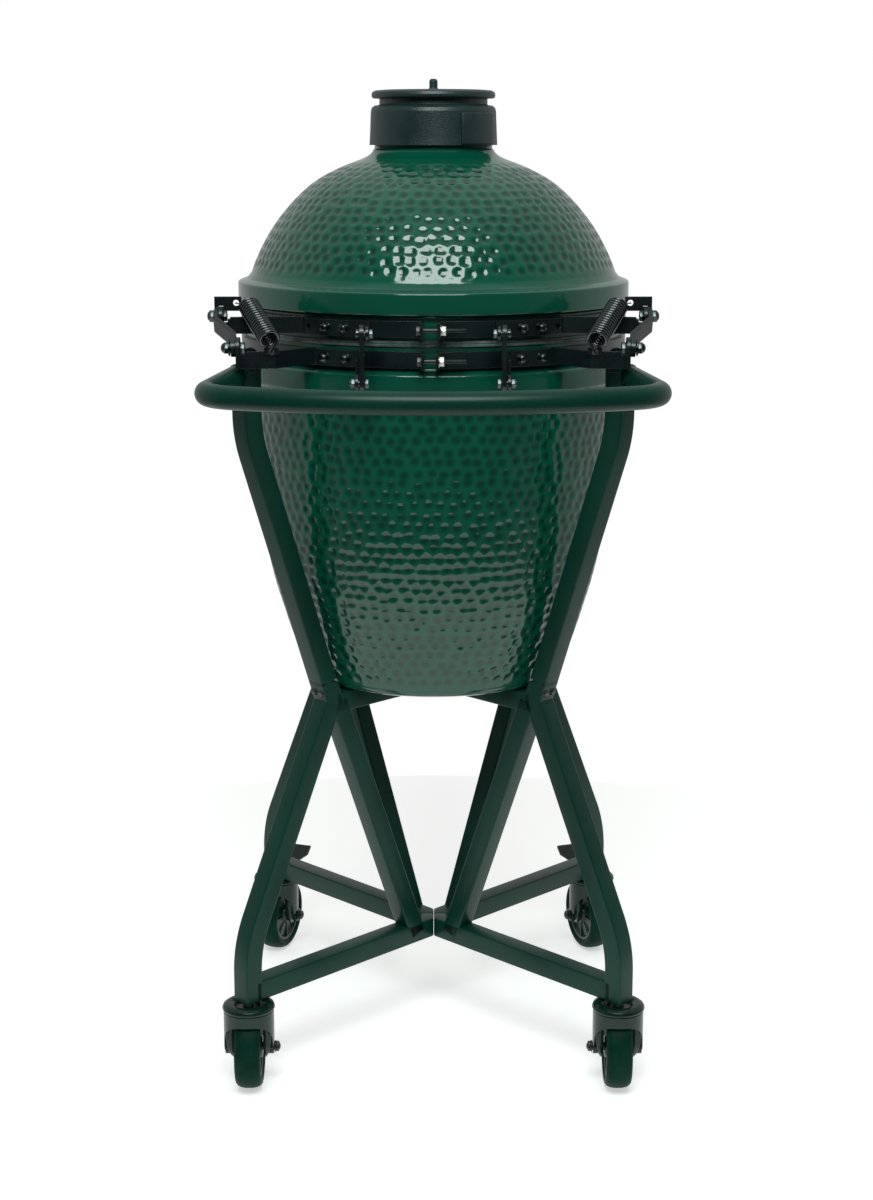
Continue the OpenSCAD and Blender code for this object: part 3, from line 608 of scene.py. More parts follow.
@dataclass
class Workshop:
    """Places finished meshes in the frame and hangs them on its bodies.

    Attributes:
        shift: From the egg's axis to the frame's origin, in metres.
        made: How many pieces it has placed.
    """

    shift: Vector
    made: int = 0

    def piece(self, name: str, bm: bmesh.types.BMesh, finish: Finish, body: str, *,
              replaces: Sequence[str] = (), turn: Matrix | None = None,
              sharp: float = 38.0) -> bpy.types.Object:
        """Turn a mesh into a dressed object that rides on a body.

        Args:
            name: Name of the piece.
            bm: Its mesh about the egg's axis, in metres; it is used up.
            finish: What it is made of.
            body: Body that it moves with.
            replaces: Frame nodes that it stands for.
            turn: Place of the piece, if its mesh was drawn at the origin.
            sharp: Angle above which an edge stays hard, in degrees.

        Returns:
            The object.
        """
        if turn is not None:
            bmesh.ops.transform(bm, matrix=turn, verts=bm.verts)
        bmesh.ops.translate(bm, verts=bm.verts, vec=self.shift)
        mesh = bpy.data.meshes.new(name)
        bm.to_mesh(mesh)
        bm.free()
        mesh.shade_smooth()
        mesh.set_sharp_from_angle(angle=math.radians(sharp))
        mesh.materials.append(finish.material())
        obj = bpy.data.objects.new(name, mesh)
        bpy.context.scene.collection.objects.link(obj)
        if replaces:
            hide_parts(*replaces)
        if body:
            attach(obj, body)
        self.made += 1
        LOG.info("%s: %d faces on %s", name, len(mesh.polygons), body or "two bodies")
        return obj


# ---------------------------------------------------------------- the egg


@dataclass
class Dimples:
    """Staggered bowls pressed into wet clay, row above row.

    Attributes:
        pitch: Distance between bowls in a row.
        row: Distance between rows along the surface.
        reach: Radius at which a bowl runs out.
        depth: Depth of a bowl.
        low: Height at which the rows start.
        high: Height at which they stop.
        fade: Length over which they die away at both ends.
        group: The number of bowls in a row is a multiple of this.
        stray: How far a bowl strays from its place, as a standard deviation.
    """

    low: float
    high: float
    pitch: float = 15.0
    row: float = 12.8
    reach: float = 6.7
    depth: float = 1.15
    fade: float = 12.0
    group: int = 6
    stray: float = 1.5

    def press(self, bm: bmesh.types.BMesh, profile: Sequence[Point], seed: int) -> None:
        """Press the bowls into a turned mesh and note how deep each point went.

        Args:
            bm: The turned mesh, in metres.
            profile: The profile that it was turned from, rising over the rows.
            seed: Start of the random numbers that shift each bowl a little.
        """
        rows = np.array([p for p in profile if self.low - 30 < p[1] < self.high + 30])
        run = np.concatenate([[0.0], np.cumsum(np.hypot(*np.diff(rows, axis=0).T))])
        slope = np.gradient(rows, axis=0)
        slope /= np.linalg.norm(slope, axis=1)[:, None]
        co = np.array([v.co for v in bm.verts]) * 1000.0
        radius, height = np.hypot(co[:, 0], co[:, 1]), co[:, 2]
        arc = np.interp(height, rows[:, 1], run)
        phi = np.arctan2(co[:, 1], co[:, 0])
        near = np.full(len(co), 1e9)
        weight = np.ones(len(co))
        rng = np.random.default_rng(seed)
        count = int(run[-1] / self.row) + 4
        shift = np.clip(rng.normal(0.0, self.stray, (count, 160, 2)), -2.2, 2.2)
        press = rng.normal(1.0, 0.12, (count, 160))
        phase = rng.uniform(-0.3, 0.3, count)
        for step in (-1, 0, 1):
            line = np.clip(np.round(arc / self.row).astype(int) + step, 0, count - 1)
            ring = np.interp(line * self.row, run, rows[:, 0])
            around = np.maximum(self.group, np.round(FULL_TURN * ring / self.pitch / self.group) * self.group)
            turn = (phi / FULL_TURN) * around - 0.5 * (line % 2) - phase[line]
            place = np.round(turn)
            index = np.mod(place, around).astype(int)
            across = (turn - place) * FULL_TURN * radius / around + shift[line, index, 0]
            along = arc - line * self.row + shift[line, index, 1]
            gap = np.hypot(across, along)
            closer = gap < near
            near = np.where(closer, gap, near)
            weight = np.where(closer, press[line, index], weight)
        edge = np.minimum(height - self.low, self.high - height) / self.fade
        edge = np.clip(edge, 0.0, 1.0)
        edge = edge * edge * (3 - 2 * edge)
        raw = 1.0 - (near / self.reach) ** 2
        bowl = 0.5 * (raw + np.sqrt(raw * raw + 0.015))
        sink = self.depth * weight * edge * bowl
        out_r = np.interp(height, rows[:, 1], slope[:, 1])
        out_z = -np.interp(height, rows[:, 1], slope[:, 0])
        outer = (edge > 0) & (radius > np.interp(height, rows[:, 1], rows[:, 0]) - 3)
        sink = np.where(outer, sink, 0.0)
        co[:, 0] -= sink * out_r * np.cos(phi)
        co[:, 1] -= sink * out_r * np.sin(phi)
        co[:, 2] -= sink * out_z
        layer = bm.verts.layers.float.new("hollow")
        for vert, place, depth in zip(bm.verts, co / 1000.0, np.where(outer, bowl * edge, 0.35)):
            vert.co = place
            vert[layer] = float(depth)


@dataclass
class Egg:
    """The glazed ceramic base and lid, their clay linings, and the felt between them.

    Attributes:
        foot: Underside of the base, from its middle.
        wall: Points that the base's dimpled wall passes through.
        rim: Flange and neck of the base.
        lining: Inside of the base.
        lid_rim: Neck and flange of the lid.
        dome_r: Radius of the dome.
        dome_z: Height of the dome's centre.
        dome_from: Angle at which the dome starts above the flange.
        dome_to: Angle at which it leaves the sphere for the shoulder.
        shoulder: From the dome to the chimney.
        lid_lining: Inside edge of the lid.
        inside_r: Radius of the dome's inside.
        flue: Inside of the chimney.
        port: Half width, bottom and top of the draught opening.
    """

    foot: tuple[Point, ...] = ((20, 472.7), (152, 472.7), (160, 476), (164.5, 482))
    wall: tuple[Point, ...] = ((164.5, 482), (170.5, 500), (181.7, 533), (190, 560), (198, 586.5),
                               (206, 620), (214, 660), (220.3, 700), (225, 740), (228.3, 780),
                               (230, 820), (230.5, 842))
    rim: tuple[Point, ...] = ((230.5, 842), (232, 844.5), (237, 846.8), (237, 868.5), (231, 873.5),
                              (229, 875.5), (229, 900.5))
    lining: tuple[Point, ...] = ((229, 900.5), (203, 900.5), (203, 840), (201, 780), (196, 720),
                                 (188, 660), (172, 590), (160, 540), (146, 503), (20, 503))
    lid_rim: tuple[Point, ...] = ((229, 907.5), (229, 933.5), (231, 935.2), (238, 935.8), (238, 960.5),
                                  (227, 964.6), (223.6, 967.6))
    dome_r: float = 235
    dome_z: float = 893
    dome_from: float = 19.4
    dome_to: float = 47.4
    shoulder: tuple[Point, ...] = ((159.07, 1065.98), (146.8, 1076.2), (133, 1085), (115.4, 1093.9),
                                   (100, 1100.2), (88, 1104.6), (80.3, 1108.2), (75.2, 1112),
                                   (72.6, 1116), (71, 1121), (71, 1150))
    lid_lining: tuple[Point, ...] = ((229, 907.5), (203, 907.5))
    inside_r: float = 208
    flue: tuple[Point, ...] = ((80, 1079), (58, 1084), (52, 1092), (52, 1150), (71, 1150))
    port: tuple[float, float, float] = (42, 516, 574)

    @staticmethod
    def curve(points: Sequence[Point], step: float) -> list[Point]:
        """Draw a smooth line through some points.

        Args:
            points: Where the line passes.
            step: Longest distance between two points of the line.

        Returns:
            The points of the line.
        """
        pts = [Vector(p) for p in points]
        pts = [pts[0] * 2 - pts[1]] + pts + [pts[-1] * 2 - pts[-2]]
        made = [tuple(pts[1])]
        for a, b, c, d in zip(pts, pts[1:], pts[2:], pts[3:]):
            cuts = max(1, math.ceil((c - b).length / step))
            for k in range(1, cuts + 1):
                t = k / cuts
                made.append(tuple(0.5 * (b * 2 + (c - a) * t + (a * 2 - b * 5 + c * 4 - d) * t ** 2
                                         + (b * 3 - a - c * 3 + d) * t ** 3)))
        return made

    def build(self, shop: Workshop) -> None:
        """Make the base, the lid and the felt.

        Args:
            shop: Where the pieces are finished.
        """
        self.build_base(shop)
        self.build_lid(shop)
        for name, low, body in (("base_gasket_felt", 900.5, "base"), ("lid_gasket_felt", 904.1, "lid")):
            section = [(206, low), (231, low), (231, low + 3.4), (206, low + 3.4)]
            ring = Shape.fillet(section, 1.1, 3, closed=True)
            shop.piece(name, Shape.turned(ring, 240, closed=True), FELT, body,
                       replaces=("base_gasket" if body == "base" else "lid_gasket",))

    def build_base(self, shop: Workshop) -> None:
        """The base: dimpled outside, flange, draught opening and clay inside.

        Args:
            shop: Where the pieces are finished.
        """
        wall = self.curve(self.wall, 2.45)
        rim = Shape.fillet(self.rim, 3.2, 5)
        profile = Shape.fillet(list(self.foot), 6, 3)[:-1] + wall + rim[1:]
        outer = Shape.turned(profile, 576)
        Dimples(low=484, high=839).press(outer, wall, seed=3)
        self.cut_port(outer)
        inside = sorted((z, r) for r, z in self.lining[2:])
        self.line_port(outer, inside)
        shop.piece("base_glazed_shell", outer, GLAZE, "base", replaces=("base_shell",),
                   sharp=60)
        lining = Shape.turned(Shape.fillet(list(self.lining), 3, 3), 160)
        self.cut_port(lining)
        shop.piece("base_clay_lining", lining, CLAY, "base", replaces=("base_shell",))

    def cut_port(self, bm: bmesh.types.BMesh) -> None:
        """Cut the draught opening out of a turned wall, with straight edges.

        Args:
            bm: The wall's mesh.
        """
        half, low, high = (mm(v) for v in self.port)
        margin = mm(6)
        planes = (((half, 0, 0), (1, 0, 0)), ((-half, 0, 0), (1, 0, 0)),
                  ((0, 0, low), (0, 0, 1)), ((0, 0, high), (0, 0, 1)))
        for spot, way in planes:
            faces = [f for f in bm.faces if f.calc_center_median().y > 0
                     and abs(f.calc_center_median().x) < half + margin
                     and low - margin < f.calc_center_median().z < high + margin]
            edges = {e for f in faces for e in f.edges}
            verts = {v for f in faces for v in f.verts}
            bmesh.ops.bisect_plane(bm, geom=list(verts) + list(edges) + faces, dist=1e-7,
                                   plane_co=spot, plane_no=way)
        gone = [f for f in bm.faces if f.calc_center_median().y > 0
                and abs(f.calc_center_median().x) < half and low < f.calc_center_median().z < high]
        bmesh.ops.delete(bm, geom=gone, context="FACES")

    def line_port(self, bm: bmesh.types.BMesh, inside: Sequence[Point]) -> None:
        """Carry the edge of the opening through the wall to the inside.

        Args:
            bm: The outer wall, with its opening.
            inside: Height and radius of points on the inside, rising.
        """
        _, low, high = (mm(v) for v in self.port)
        rim = [e for e in bm.edges if e.is_boundary and e.verts[0].co.y > 0
               and low - 1e-4 < e.verts[0].co.z < high + 1e-4]
        grown = bmesh.ops.extrude_edge_only(bm, edges=rim)["geom"]
        heights, radii = zip(*inside)
        for vert in grown:
            if isinstance(vert, bmesh.types.BMVert):
                radius = mm(float(np.interp(vert.co.z * 1000, heights, radii)))
                vert.co.y = math.sqrt(radius ** 2 - vert.co.x ** 2)
        bmesh.ops.recalc_face_normals(bm, faces=bm.faces)

    def build_lid(self, shop: Workshop) -> None:
        """The lid: flange, dimpled dome, chimney and clay inside.

        Args:
            shop: Where the pieces are finished.
        """
        steps = 84
        dome = []
        for i in range(steps + 1):
            a = math.radians(self.dome_from + (self.dome_to - self.dome_from) * i / steps)
            dome.append((self.dome_r * math.cos(a), self.dome_z + self.dome_r * math.sin(a)))
        top = self.curve(self.shoulder, 1.9)
        wall = dome[:-1] + top
        profile = Shape.fillet(self.lid_rim, 3.2, 5)[:-1] + wall
        outer = Shape.turned(profile, 640)
        Dimples(low=970, high=1106, fade=14).press(outer, wall, seed=11)
        shop.piece("lid_glazed_dome", outer, GLAZE, "lid", replaces=("lid_dome",), sharp=60)
        turns = [math.radians(a) for a in range(14, 60, 4)]
        inner = [(self.inside_r * math.cos(a), self.dome_z + self.inside_r * math.sin(a)) for a in turns]
        lining = Shape.turned([*self.lid_lining, *inner, *self.flue], 160)
        shop.piece("lid_clay_lining", lining, CLAY, "lid", replaces=("lid_dome",))


# ---------------------------------------------------------------- the stand


@dataclass
class Stand:
    """Square-tube frames and arms, their plugs, and the bent push handle.

    Attributes:
        tube: Side of the square tube.
        foot: Distance of a leg from the axis, and height of its foot.
        knee: Distance and height of the point where leg and arm meet.
        leg_lean: Lean of the legs, in degrees.
        arm_lean: Lean of the arms, in degrees.
        leg_bend: Radius of the bend at the foot of a leg.
        arm_bend: Radius of the bend near the top of an arm.
        arm_top: Distance and height of an arm's upper end.
        stub: Length of frame above the knee.
        bars: Undersides of the two bars of each frame, and where they end.
        strut: Ends of the sloping strut, as distance and height.
        post_face: Distance from the axis to the rear faces that end the push handle.
    """

    tube: float = 25
    foot: Point = (316, 113)
    knee: Point = (180.2, 464.1)
    leg_lean: float = 25.8
    arm_lean: float = 19.7
    leg_bend: float = 145
    arm_bend: float = 150
    arm_top: Point = (300, 877)
    stub: float = 25.4
    bars: tuple[Point, ...] = ((113, 313), (447.7, 178))
    strut: tuple[Point, Point] = ((40.3, 125), (172.1, 460))
    post_face: float = 312.5

    @staticmethod
    def lean(degrees: float, sign: int) -> Vector:
        """Direction that leans from vertical, outwards for a positive sign."""
        a = math.radians(degrees)
        return Vector((sign * math.sin(a), 0, math.cos(a)))

    def frame(self) -> bmesh.types.BMesh:
        """One quarter of the stand.

        Returns:
            Its mesh, lying along +x.
        """
        section = Bender.square(self.tube)
        rise = (self.foot[0] - self.knee[0]) / math.tan(math.radians(self.leg_lean))
        tangent = self.leg_bend * math.tan(math.radians(self.leg_lean / 2))
        slant = (self.foot[0] - self.knee[0]) / math.sin(math.radians(self.leg_lean))
        leg = Bender(section, (self.foot[0], 0, self.foot[1]), (0, 0, 1), (0, 1, 0))
        leg.straight(self.knee[1] - rise - tangent - self.foot[1])
        leg.bend(self.leg_bend, self.leg_lean, (-1, 0, 0), 14).straight(slant - tangent)
        out = self.lean(self.arm_lean, 1)
        leg.mitre(out).straight(self.stub)
        parts = [leg.capped()]
        half = self.tube / 2
        for low, reach in self.bars:
            outline = [(0.4, 0), (0.4 + half, -half), (reach, -half), (reach, half), (0.4 + half, half)]
            bar = Shape.slab(outline, self.tube, 1.9, 4)
            bmesh.ops.translate(bar, verts=bar.verts, vec=(0, 0, mm(low)))
            parts.append(bar)
        start, end = (Vector((p[0], 0, p[1])) for p in self.strut)
        strut = Bender(section, start, end - start, (0, 1, 0)).straight((end - start).length)
        parts.append(strut.capped())
        return Shape.join(parts)

    def arm(self) -> bmesh.types.BMesh:
        """One arm.

        Returns:
            Its mesh, lying along +x.
        """
        out = self.lean(self.arm_lean, 1)
        gap = self.stub + 0.5
        start = Vector((self.knee[0], 0, self.knee[1])) + out * gap
        tangent = self.arm_bend * math.tan(math.radians(self.arm_lean / 2))
        rise = (self.arm_top[0] - self.knee[0]) / math.tan(math.radians(self.arm_lean))
        slant = (self.arm_top[0] - self.knee[0]) / math.sin(math.radians(self.arm_lean))
        arm = Bender(Bender.square(self.tube), start, out, (0, 1, 0)).straight(slant - tangent - gap)
        arm.bend(self.arm_bend, self.arm_lean, (-out.z, 0, out.x), 14)
        return arm.straight(self.arm_top[1] - (self.knee[1] + rise + tangent)).capped()

    def plug(self) -> bmesh.types.BMesh:
        """Push-in cap at the top of an arm.

        Returns:
            Its mesh, for the arm along +x.
        """
        half = self.tube / 2
        rim = Shape.slab([(-half, -half), (half, -half), (half, half), (-half, half)], 1.8, 0.8)
        crown = half - 1.5
        top = Shape.slab([(-crown, -crown), (crown, -crown), (crown, crown), (-crown, crown)], 3.0, 1.2)
        plug = Shape.join([rim, top])
        bmesh.ops.translate(plug, verts=plug.verts, vec=(mm(self.arm_top[0]), 0, mm(self.arm_top[1])))
        return plug

    def handle(self) -> bmesh.types.BMesh:
        """The push handle, drawn from its left end to its right end.

        Returns:
            Its mesh.
        """
        bow, corner, side, level = 519.0, 50.0, 6.6, 866.0
        centre = Vector((190.8, -363.4, level))
        sweep = math.degrees(math.asin(centre.x / (bow - corner)))
        start = Vector((-222.5, -202, level))
        turn = math.radians(side)
        meet = Vector((-centre.x - corner * math.cos(turn), centre.y + corner * math.sin(turn), level))
        tube = Bender(Bender.round(12.7), start, meet - start, (0, 0, 1)).straight((meet - start).length)
        inward = Vector((-centre.x, centre.y, level)) - meet
        tube.bend(corner, 90 - sweep + side, inward, 16)
        middle = Vector((0, bow - 454.3, level))
        tube.bend(bow, 2 * sweep, middle - tube.here, 40)
        inward = centre - tube.here
        tube.bend(corner, 90 - sweep + side, inward, 16)
        tube.straight((meet - start).length)
        bm = tube.capped()
        for sx in (-1, 1):
            near = [f for f in bm.faces
                    if f.calc_center_median().x * sx > 0.18 and f.calc_center_median().y > -0.34]
            geom = list({v for f in near for v in f.verts}) + list({e for f in near for e in f.edges}) + near
            away = Vector((sx, -1, 0))
            bmesh.ops.bisect_plane(bm, geom=geom, dist=1e-7, plane_co=away.normalized() * mm(self.post_face),
                                   plane_no=away, clear_inner=True)
        return bm

    def build(self, shop: Workshop) -> None:
        """Make the stand's pieces.

        Args:
            shop: Where the pieces are finished.
        """
        corners = {"rear_left": (-1, -1), "rear_right": (1, -1), "front_left": (-1, 1), "front_right": (1, 1)}
        plugs = []
        for name, (sx, sy) in corners.items():
            spin = Matrix.Rotation(math.atan2(sy, sx), 4, "Z")
            shop.piece(f"{name}_frame_tube", self.frame(), POWDER, "base", replaces=(f"frame_{name}",),
                       turn=spin)
            shop.piece(f"{name}_arm_tube", self.arm(), POWDER, "base", replaces=(f"arm_{name}",),
                       turn=spin)
            plug = self.plug()
            bmesh.ops.transform(plug, matrix=spin, verts=plug.verts)
            plugs.append(plug)
        shop.piece("arm_plugs", Shape.join(plugs), NYLON, "base", replaces=("arm_caps",))
        shop.piece("bent_push_handle", self.handle(), POWDER, "base", replaces=("push_handle",))


# ---------------------------------------------------------------- hinge and bands


@dataclass
class Springs:
    """The two coil springs that balance the lid, each hooked at both ends.

    Attributes:
        low: Lower end of a coil's axis.
        high: Upper end of it.
        coil_r: Radius from the axis to the middle of the wire.
        wire_r: Radius of the wire.
        turns: Number of coils.
        first: Height of the first coil above the axis's lower end.
        low_hook: Where the wire below the coil bends, and its tip.
        high_hook: Where the wire above it bends, and its tip.
    """

    low: tuple[float, float, float] = (180, -262, 911)
    high: tuple[float, float, float] = (210, -201, 947)
    coil_r: float = 10.4
    wire_r: float = 1.9
    turns: int = 16
    first: float = 2.6
    low_hook: tuple[tuple[float, ...], ...] = ((180, -257, 897.5), (180, -243, 897.5))
    high_hook: tuple[tuple[float, ...], ...] = ((223, -207, 948), (223, -196, 948))

    def coil(self, place: Matrix, pitch: float) -> bmesh.types.BMesh:
        """The wound wire.

        Args:
            place: Where the coil stands.
            pitch: Distance from one turn to the next, in millimetres.

        Returns:
            Its mesh.
        """
        steps = 22
        bm = bmesh.new()
        section = Bender.round(self.wire_r, 12)
        ring = [bm.verts.new((mm(self.coil_r + x), 0, mm(self.first + y))) for x, y in section]
        loop = [bm.edges.new(pair) for pair in zip(ring, ring[1:] + ring[:1])]
        bmesh.ops.spin(bm, geom=ring + loop, cent=(0, 0, 0), axis=(0, 0, 1), dvec=(0, 0, mm(pitch / steps)),
                       angle=FULL_TURN * self.turns, steps=steps * self.turns, use_merge=False)
        bmesh.ops.holes_fill(bm, edges=[e for e in bm.edges if e.is_boundary], sides=0)
        bmesh.ops.transform(bm, matrix=place, verts=bm.verts)
        return bm

    def hook(self, start: Vector, corner: Sequence[float], end: Sequence[float]) -> bmesh.types.BMesh:
        """Straight wire that bends once and passes through its hole.

        Args:
            start: Where it leaves the coil.
            corner: Where it bends.
            end: Its tip.

        Returns:
            Its mesh.
        """
        knee, tip = Vector(corner), Vector(end)
        wire = Bender(Bender.round(self.wire_r * 0.92, 12), start, knee - start, (1, 0, 0))
        wire.straight((knee - start).length)
        return wire.mitre(tip - knee).straight((tip - knee).length).capped()

    def build(self, shop: Workshop) -> None:
        """Make both springs; each reaches from the base to the lid.

        Args:
            shop: Where the pieces are finished.
        """
        axis = Vector(self.high) - Vector(self.low)
        length = axis.length
        pitch = (length - 2 * self.first) / self.turns
        upright = axis.to_track_quat("Z", "Y").to_matrix().to_4x4()
        place = Matrix.Translation(Vector(self.low) / 1000.0) @ upright
        for side, sx in (("left", -1), ("right", 1)):
            first = place @ Vector((mm(self.coil_r), 0, mm(self.first))) * 1000
            last = place @ Vector((mm(self.coil_r), 0, mm(length - self.first))) * 1000
            bm = Shape.join([
                self.coil(place, pitch),
                self.hook(first, *self.low_hook),
                self.hook(last, *self.high_hook)])
            if sx < 0:
                bmesh.ops.scale(bm, vec=(-1, 1, 1), verts=bm.verts)
            bmesh.ops.recalc_face_normals(bm, faces=bm.faces)
            made = shop.piece(f"lid_spring_{side}", bm, WIRE, "", replaces=("lid_springs",))
            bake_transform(made)


@dataclass
class BandBolt:
    """Screw that draws the ends of a band together, with washers and a nut.

    Attributes:
        name: Frame node that it stands for.
        body: Body that it rides on.
        level: Height of its axis.
        left: Outer face of the left ear.
        right: Outer face of the right ear.
        back: Place of its axis behind the egg.
        thread_end: Where its thread ends.
    """

    name: str
    body: str
    level: float
    left: float
    right: float
    back: float = -247
    thread_end: float = 37.2

    def build(self, shop: Workshop) -> None:
        """Make the screw and its nut.

        Args:
            shop: Where the pieces are finished.
        """
        pitch = 1.25
        ridges = int((self.thread_end - self.right - 7.2) / pitch)
        rod = [(0.01, 0.0), (2.95, 0.0), (2.95, self.right - self.left + 6.5)]
        for i in range(ridges):
            at = self.right - self.left + 6.8 + i * pitch
            rod += [(2.45, at), (3.0, at + pitch / 2)]
        rod += [(2.3, self.thread_end - self.left), (0.01, self.thread_end - self.left)]
        shank = Shape.turned(rod, 32)
        head = Shape.hexagon(10.4, 4.4)
        bmesh.ops.translate(head, verts=head.verts, vec=(0, 0, -mm(5.4)))
        collar = Shape.turned(Shape.fillet([(0.01, -1.1), (7.4, -1.1), (7.4, 0), (0.01, 0)], 0.3, 2), 48)
        nut = Shape.hexagon(10.8, 5.2)
        bmesh.ops.translate(nut, verts=nut.verts, vec=(0, 0, mm(self.right - self.left + 1.2)))
        washer = Shape.turned(Shape.fillet([(0.01, 0), (7.2, 0), (7.2, 1.2), (0.01, 1.2)], 0.3, 2), 48)
        bmesh.ops.translate(washer, verts=washer.verts, vec=(0, 0, mm(self.right - self.left)))
        lay = (Matrix.Translation((mm(self.left), mm(self.back), mm(self.level)))
               @ Matrix.Rotation(math.pi / 2, 4, "Y"))
        shop.piece(f"{self.body}_band_nut", Shape.join([nut, washer]), ZINC, self.body,
                   replaces=(self.name,), turn=lay, sharp=25)
        shop.piece(f"{self.body}_band_screw", Shape.join([shank, head, collar]), BLACK, self.body,
                   turn=lay, sharp=25)


# A stretch of a bolt: how it is shaped, its radius, and where it starts and ends along the bolt.
Stretch = tuple[str, float, float, float]


@dataclass
class Fasteners:
    """Bolts, washers and nuts of the hinge, the lid's brackets and its handle.

    Attributes:
        plate: Outer face of the brackets round the bands.
        neck: Face of the ceramic under the bands.
        pivot: Place of the lid's pivot, as y and z.
        stay_low: Place of the stays' lower bolts.
        stay_high: Place of their upper bolts.
        anchor: Place of the bolts between the lid's brackets and its arms.
        grip: Place of the handle's screws.
        base_level: Height of the bolts through the lower band.
        base_angles: Their angles from the rear, the same on both sides.
        lid_level: Height of the bolts through the upper band.
        lid_angles: Their angles from the rear.
        front_angle: Angle of the handle plate's bolts from the front.
    """

    plate: float = 239.3
    neck: float = 230
    pivot: Point = (-250, 902)
    stay_low: Point = (-262, 864)
    stay_high: Point = (-262, 919)
    anchor: Point = (-200, 933)
    grip: Point = (325, 930)
    base_level: float = 886.8
    base_angles: Point = (24.5, 31)
    lid_level: float = 921
    lid_angles: Point = (24.9, 30.6)
    front_angle: float = 19.6

    @staticmethod
    def bolt(stretches: Sequence[Stretch]) -> bmesh.types.BMesh:
        """One bolt along z.

        Args:
            stretches: Its hexagons, plain rounds and domed ends.

        Returns:
            The bolt as one mesh.
        """
        parts = []
        for kind, radius, start, end in stretches:
            if kind == "hex":
                part = Shape.hexagon(radius * math.sqrt(3), end - start)
                bmesh.ops.translate(part, verts=part.verts, vec=(0, 0, mm(start)))
            elif kind == "dome":
                turns = [t * math.pi / 16 for t in range(8)]
                arc = [(radius * math.cos(t), start + (end - start) * math.sin(t)) for t in turns]
                part = Shape.turned([(0.01, start), *arc, (0.01, end)], 32)
            else:
                profile = [(0.01, start), (radius, start), (radius, end), (0.01, end)]
                part = Shape.turned(Shape.fillet(profile, 0.4, 2), 32)
            parts.append(part)
        return Shape.join(parts)

    def radial(self, angle: float, level: float, domed: bool = False) -> bmesh.types.BMesh:
        """A bolt through a bracket and a band, pointing at the egg's axis.

        Args:
            angle: From the rear of the egg, in degrees.
            level: Its height.
            domed: Round head in place of a hexagon.

        Returns:
            The bolt in its place.
        """
        top = self.plate + 0.1
        head: list[Stretch] = [("round", 6.6, top, top + 1.2), ("hex", 5.8, top + 1.2, top + 5),
                               ("dome", 4.4, top + 4.9, top + 7.2)]
        if domed:
            head = [("dome", 6.0, top, top + 3.1)]
        made = self.bolt([("round", 3.0, self.neck, top + 1), *head])
        turn = (Matrix.Rotation(math.radians(angle), 4, "Z") @ Matrix.Translation((0, 0, mm(level)))
                @ Matrix.Rotation(math.pi / 2, 4, "X"))
        bmesh.ops.transform(made, matrix=turn, verts=made.verts)
        return made

    def crosswise(self, side: int, place: Point, stretches: Sequence[Stretch]) -> bmesh.types.BMesh:
        """A bolt along x.

        Args:
            side: 1 for the right, -1 for the left.
            place: Its y and z.
            stretches: As for a bolt, measured from the middle plane.

        Returns:
            The bolt in its place.
        """
        made = self.bolt(stretches)
        turn = (Matrix.Translation((0, mm(place[0]), mm(place[1])))
                @ Matrix.Rotation(side * math.pi / 2, 4, "Y"))
        bmesh.ops.transform(made, matrix=turn, verts=made.verts)
        return made

    def build(self, shop: Workshop) -> None:
        """Make the bolts on the base and those on the lid.

        Args:
            shop: Where the pieces are finished.
        """
        base, lid = [], []
        for side in (-1, 1):
            base += [self.radial(side * angle, self.base_level) for angle in self.base_angles]
            base.append(self.crosswise(side, self.pivot, [
                ("hex", 7, 209.4, 214.8), ("round", 4, 214.6, 226.6), ("round", 9, 226.2, 227.6),
                ("hex", 7, 227.6, 232.6), ("dome", 5.6, 232.5, 236.5)]))
            base.append(self.crosswise(side, self.stay_low, [
                ("hex", 6.2, 71.4, 76), ("round", 4, 75.9, 92.9), ("hex", 6.4, 86.6, 91.6)]))
            lid += [self.radial(side * angle, self.lid_level) for angle in self.lid_angles]
            lid.append(self.radial(180 + side * self.front_angle, self.lid_level, domed=True))
            lid.append(self.crosswise(side, self.anchor, [
                ("hex", 6.5, 233.4, 237.8), ("round", 4, 237.6, 247.8), ("hex", 7.5, 247.7, 253.2),
                ("dome", 5.5, 253, 256)]))
            lid.append(self.crosswise(side, self.stay_high, [
                ("hex", 6, 66.6, 71.2), ("round", 3.5, 71.1, 86.3), ("round", 5.4, 82.2, 85.6)]))
            lid.append(self.crosswise(side, self.grip, [("round", 3, 54, 73), ("dome", 6.5, 72.2, 76.2)]))
        shop.piece("base_fasteners", Shape.join(base), PLATED, "base", replaces=("hinge_base_bolts",),
                   sharp=25)
        shop.piece("lid_fasteners", Shape.join(lid), PLATED, "lid", replaces=("lid_bolts",),
                   sharp=25)


# ---------------------------------------------------------------- casters, handle, gauge


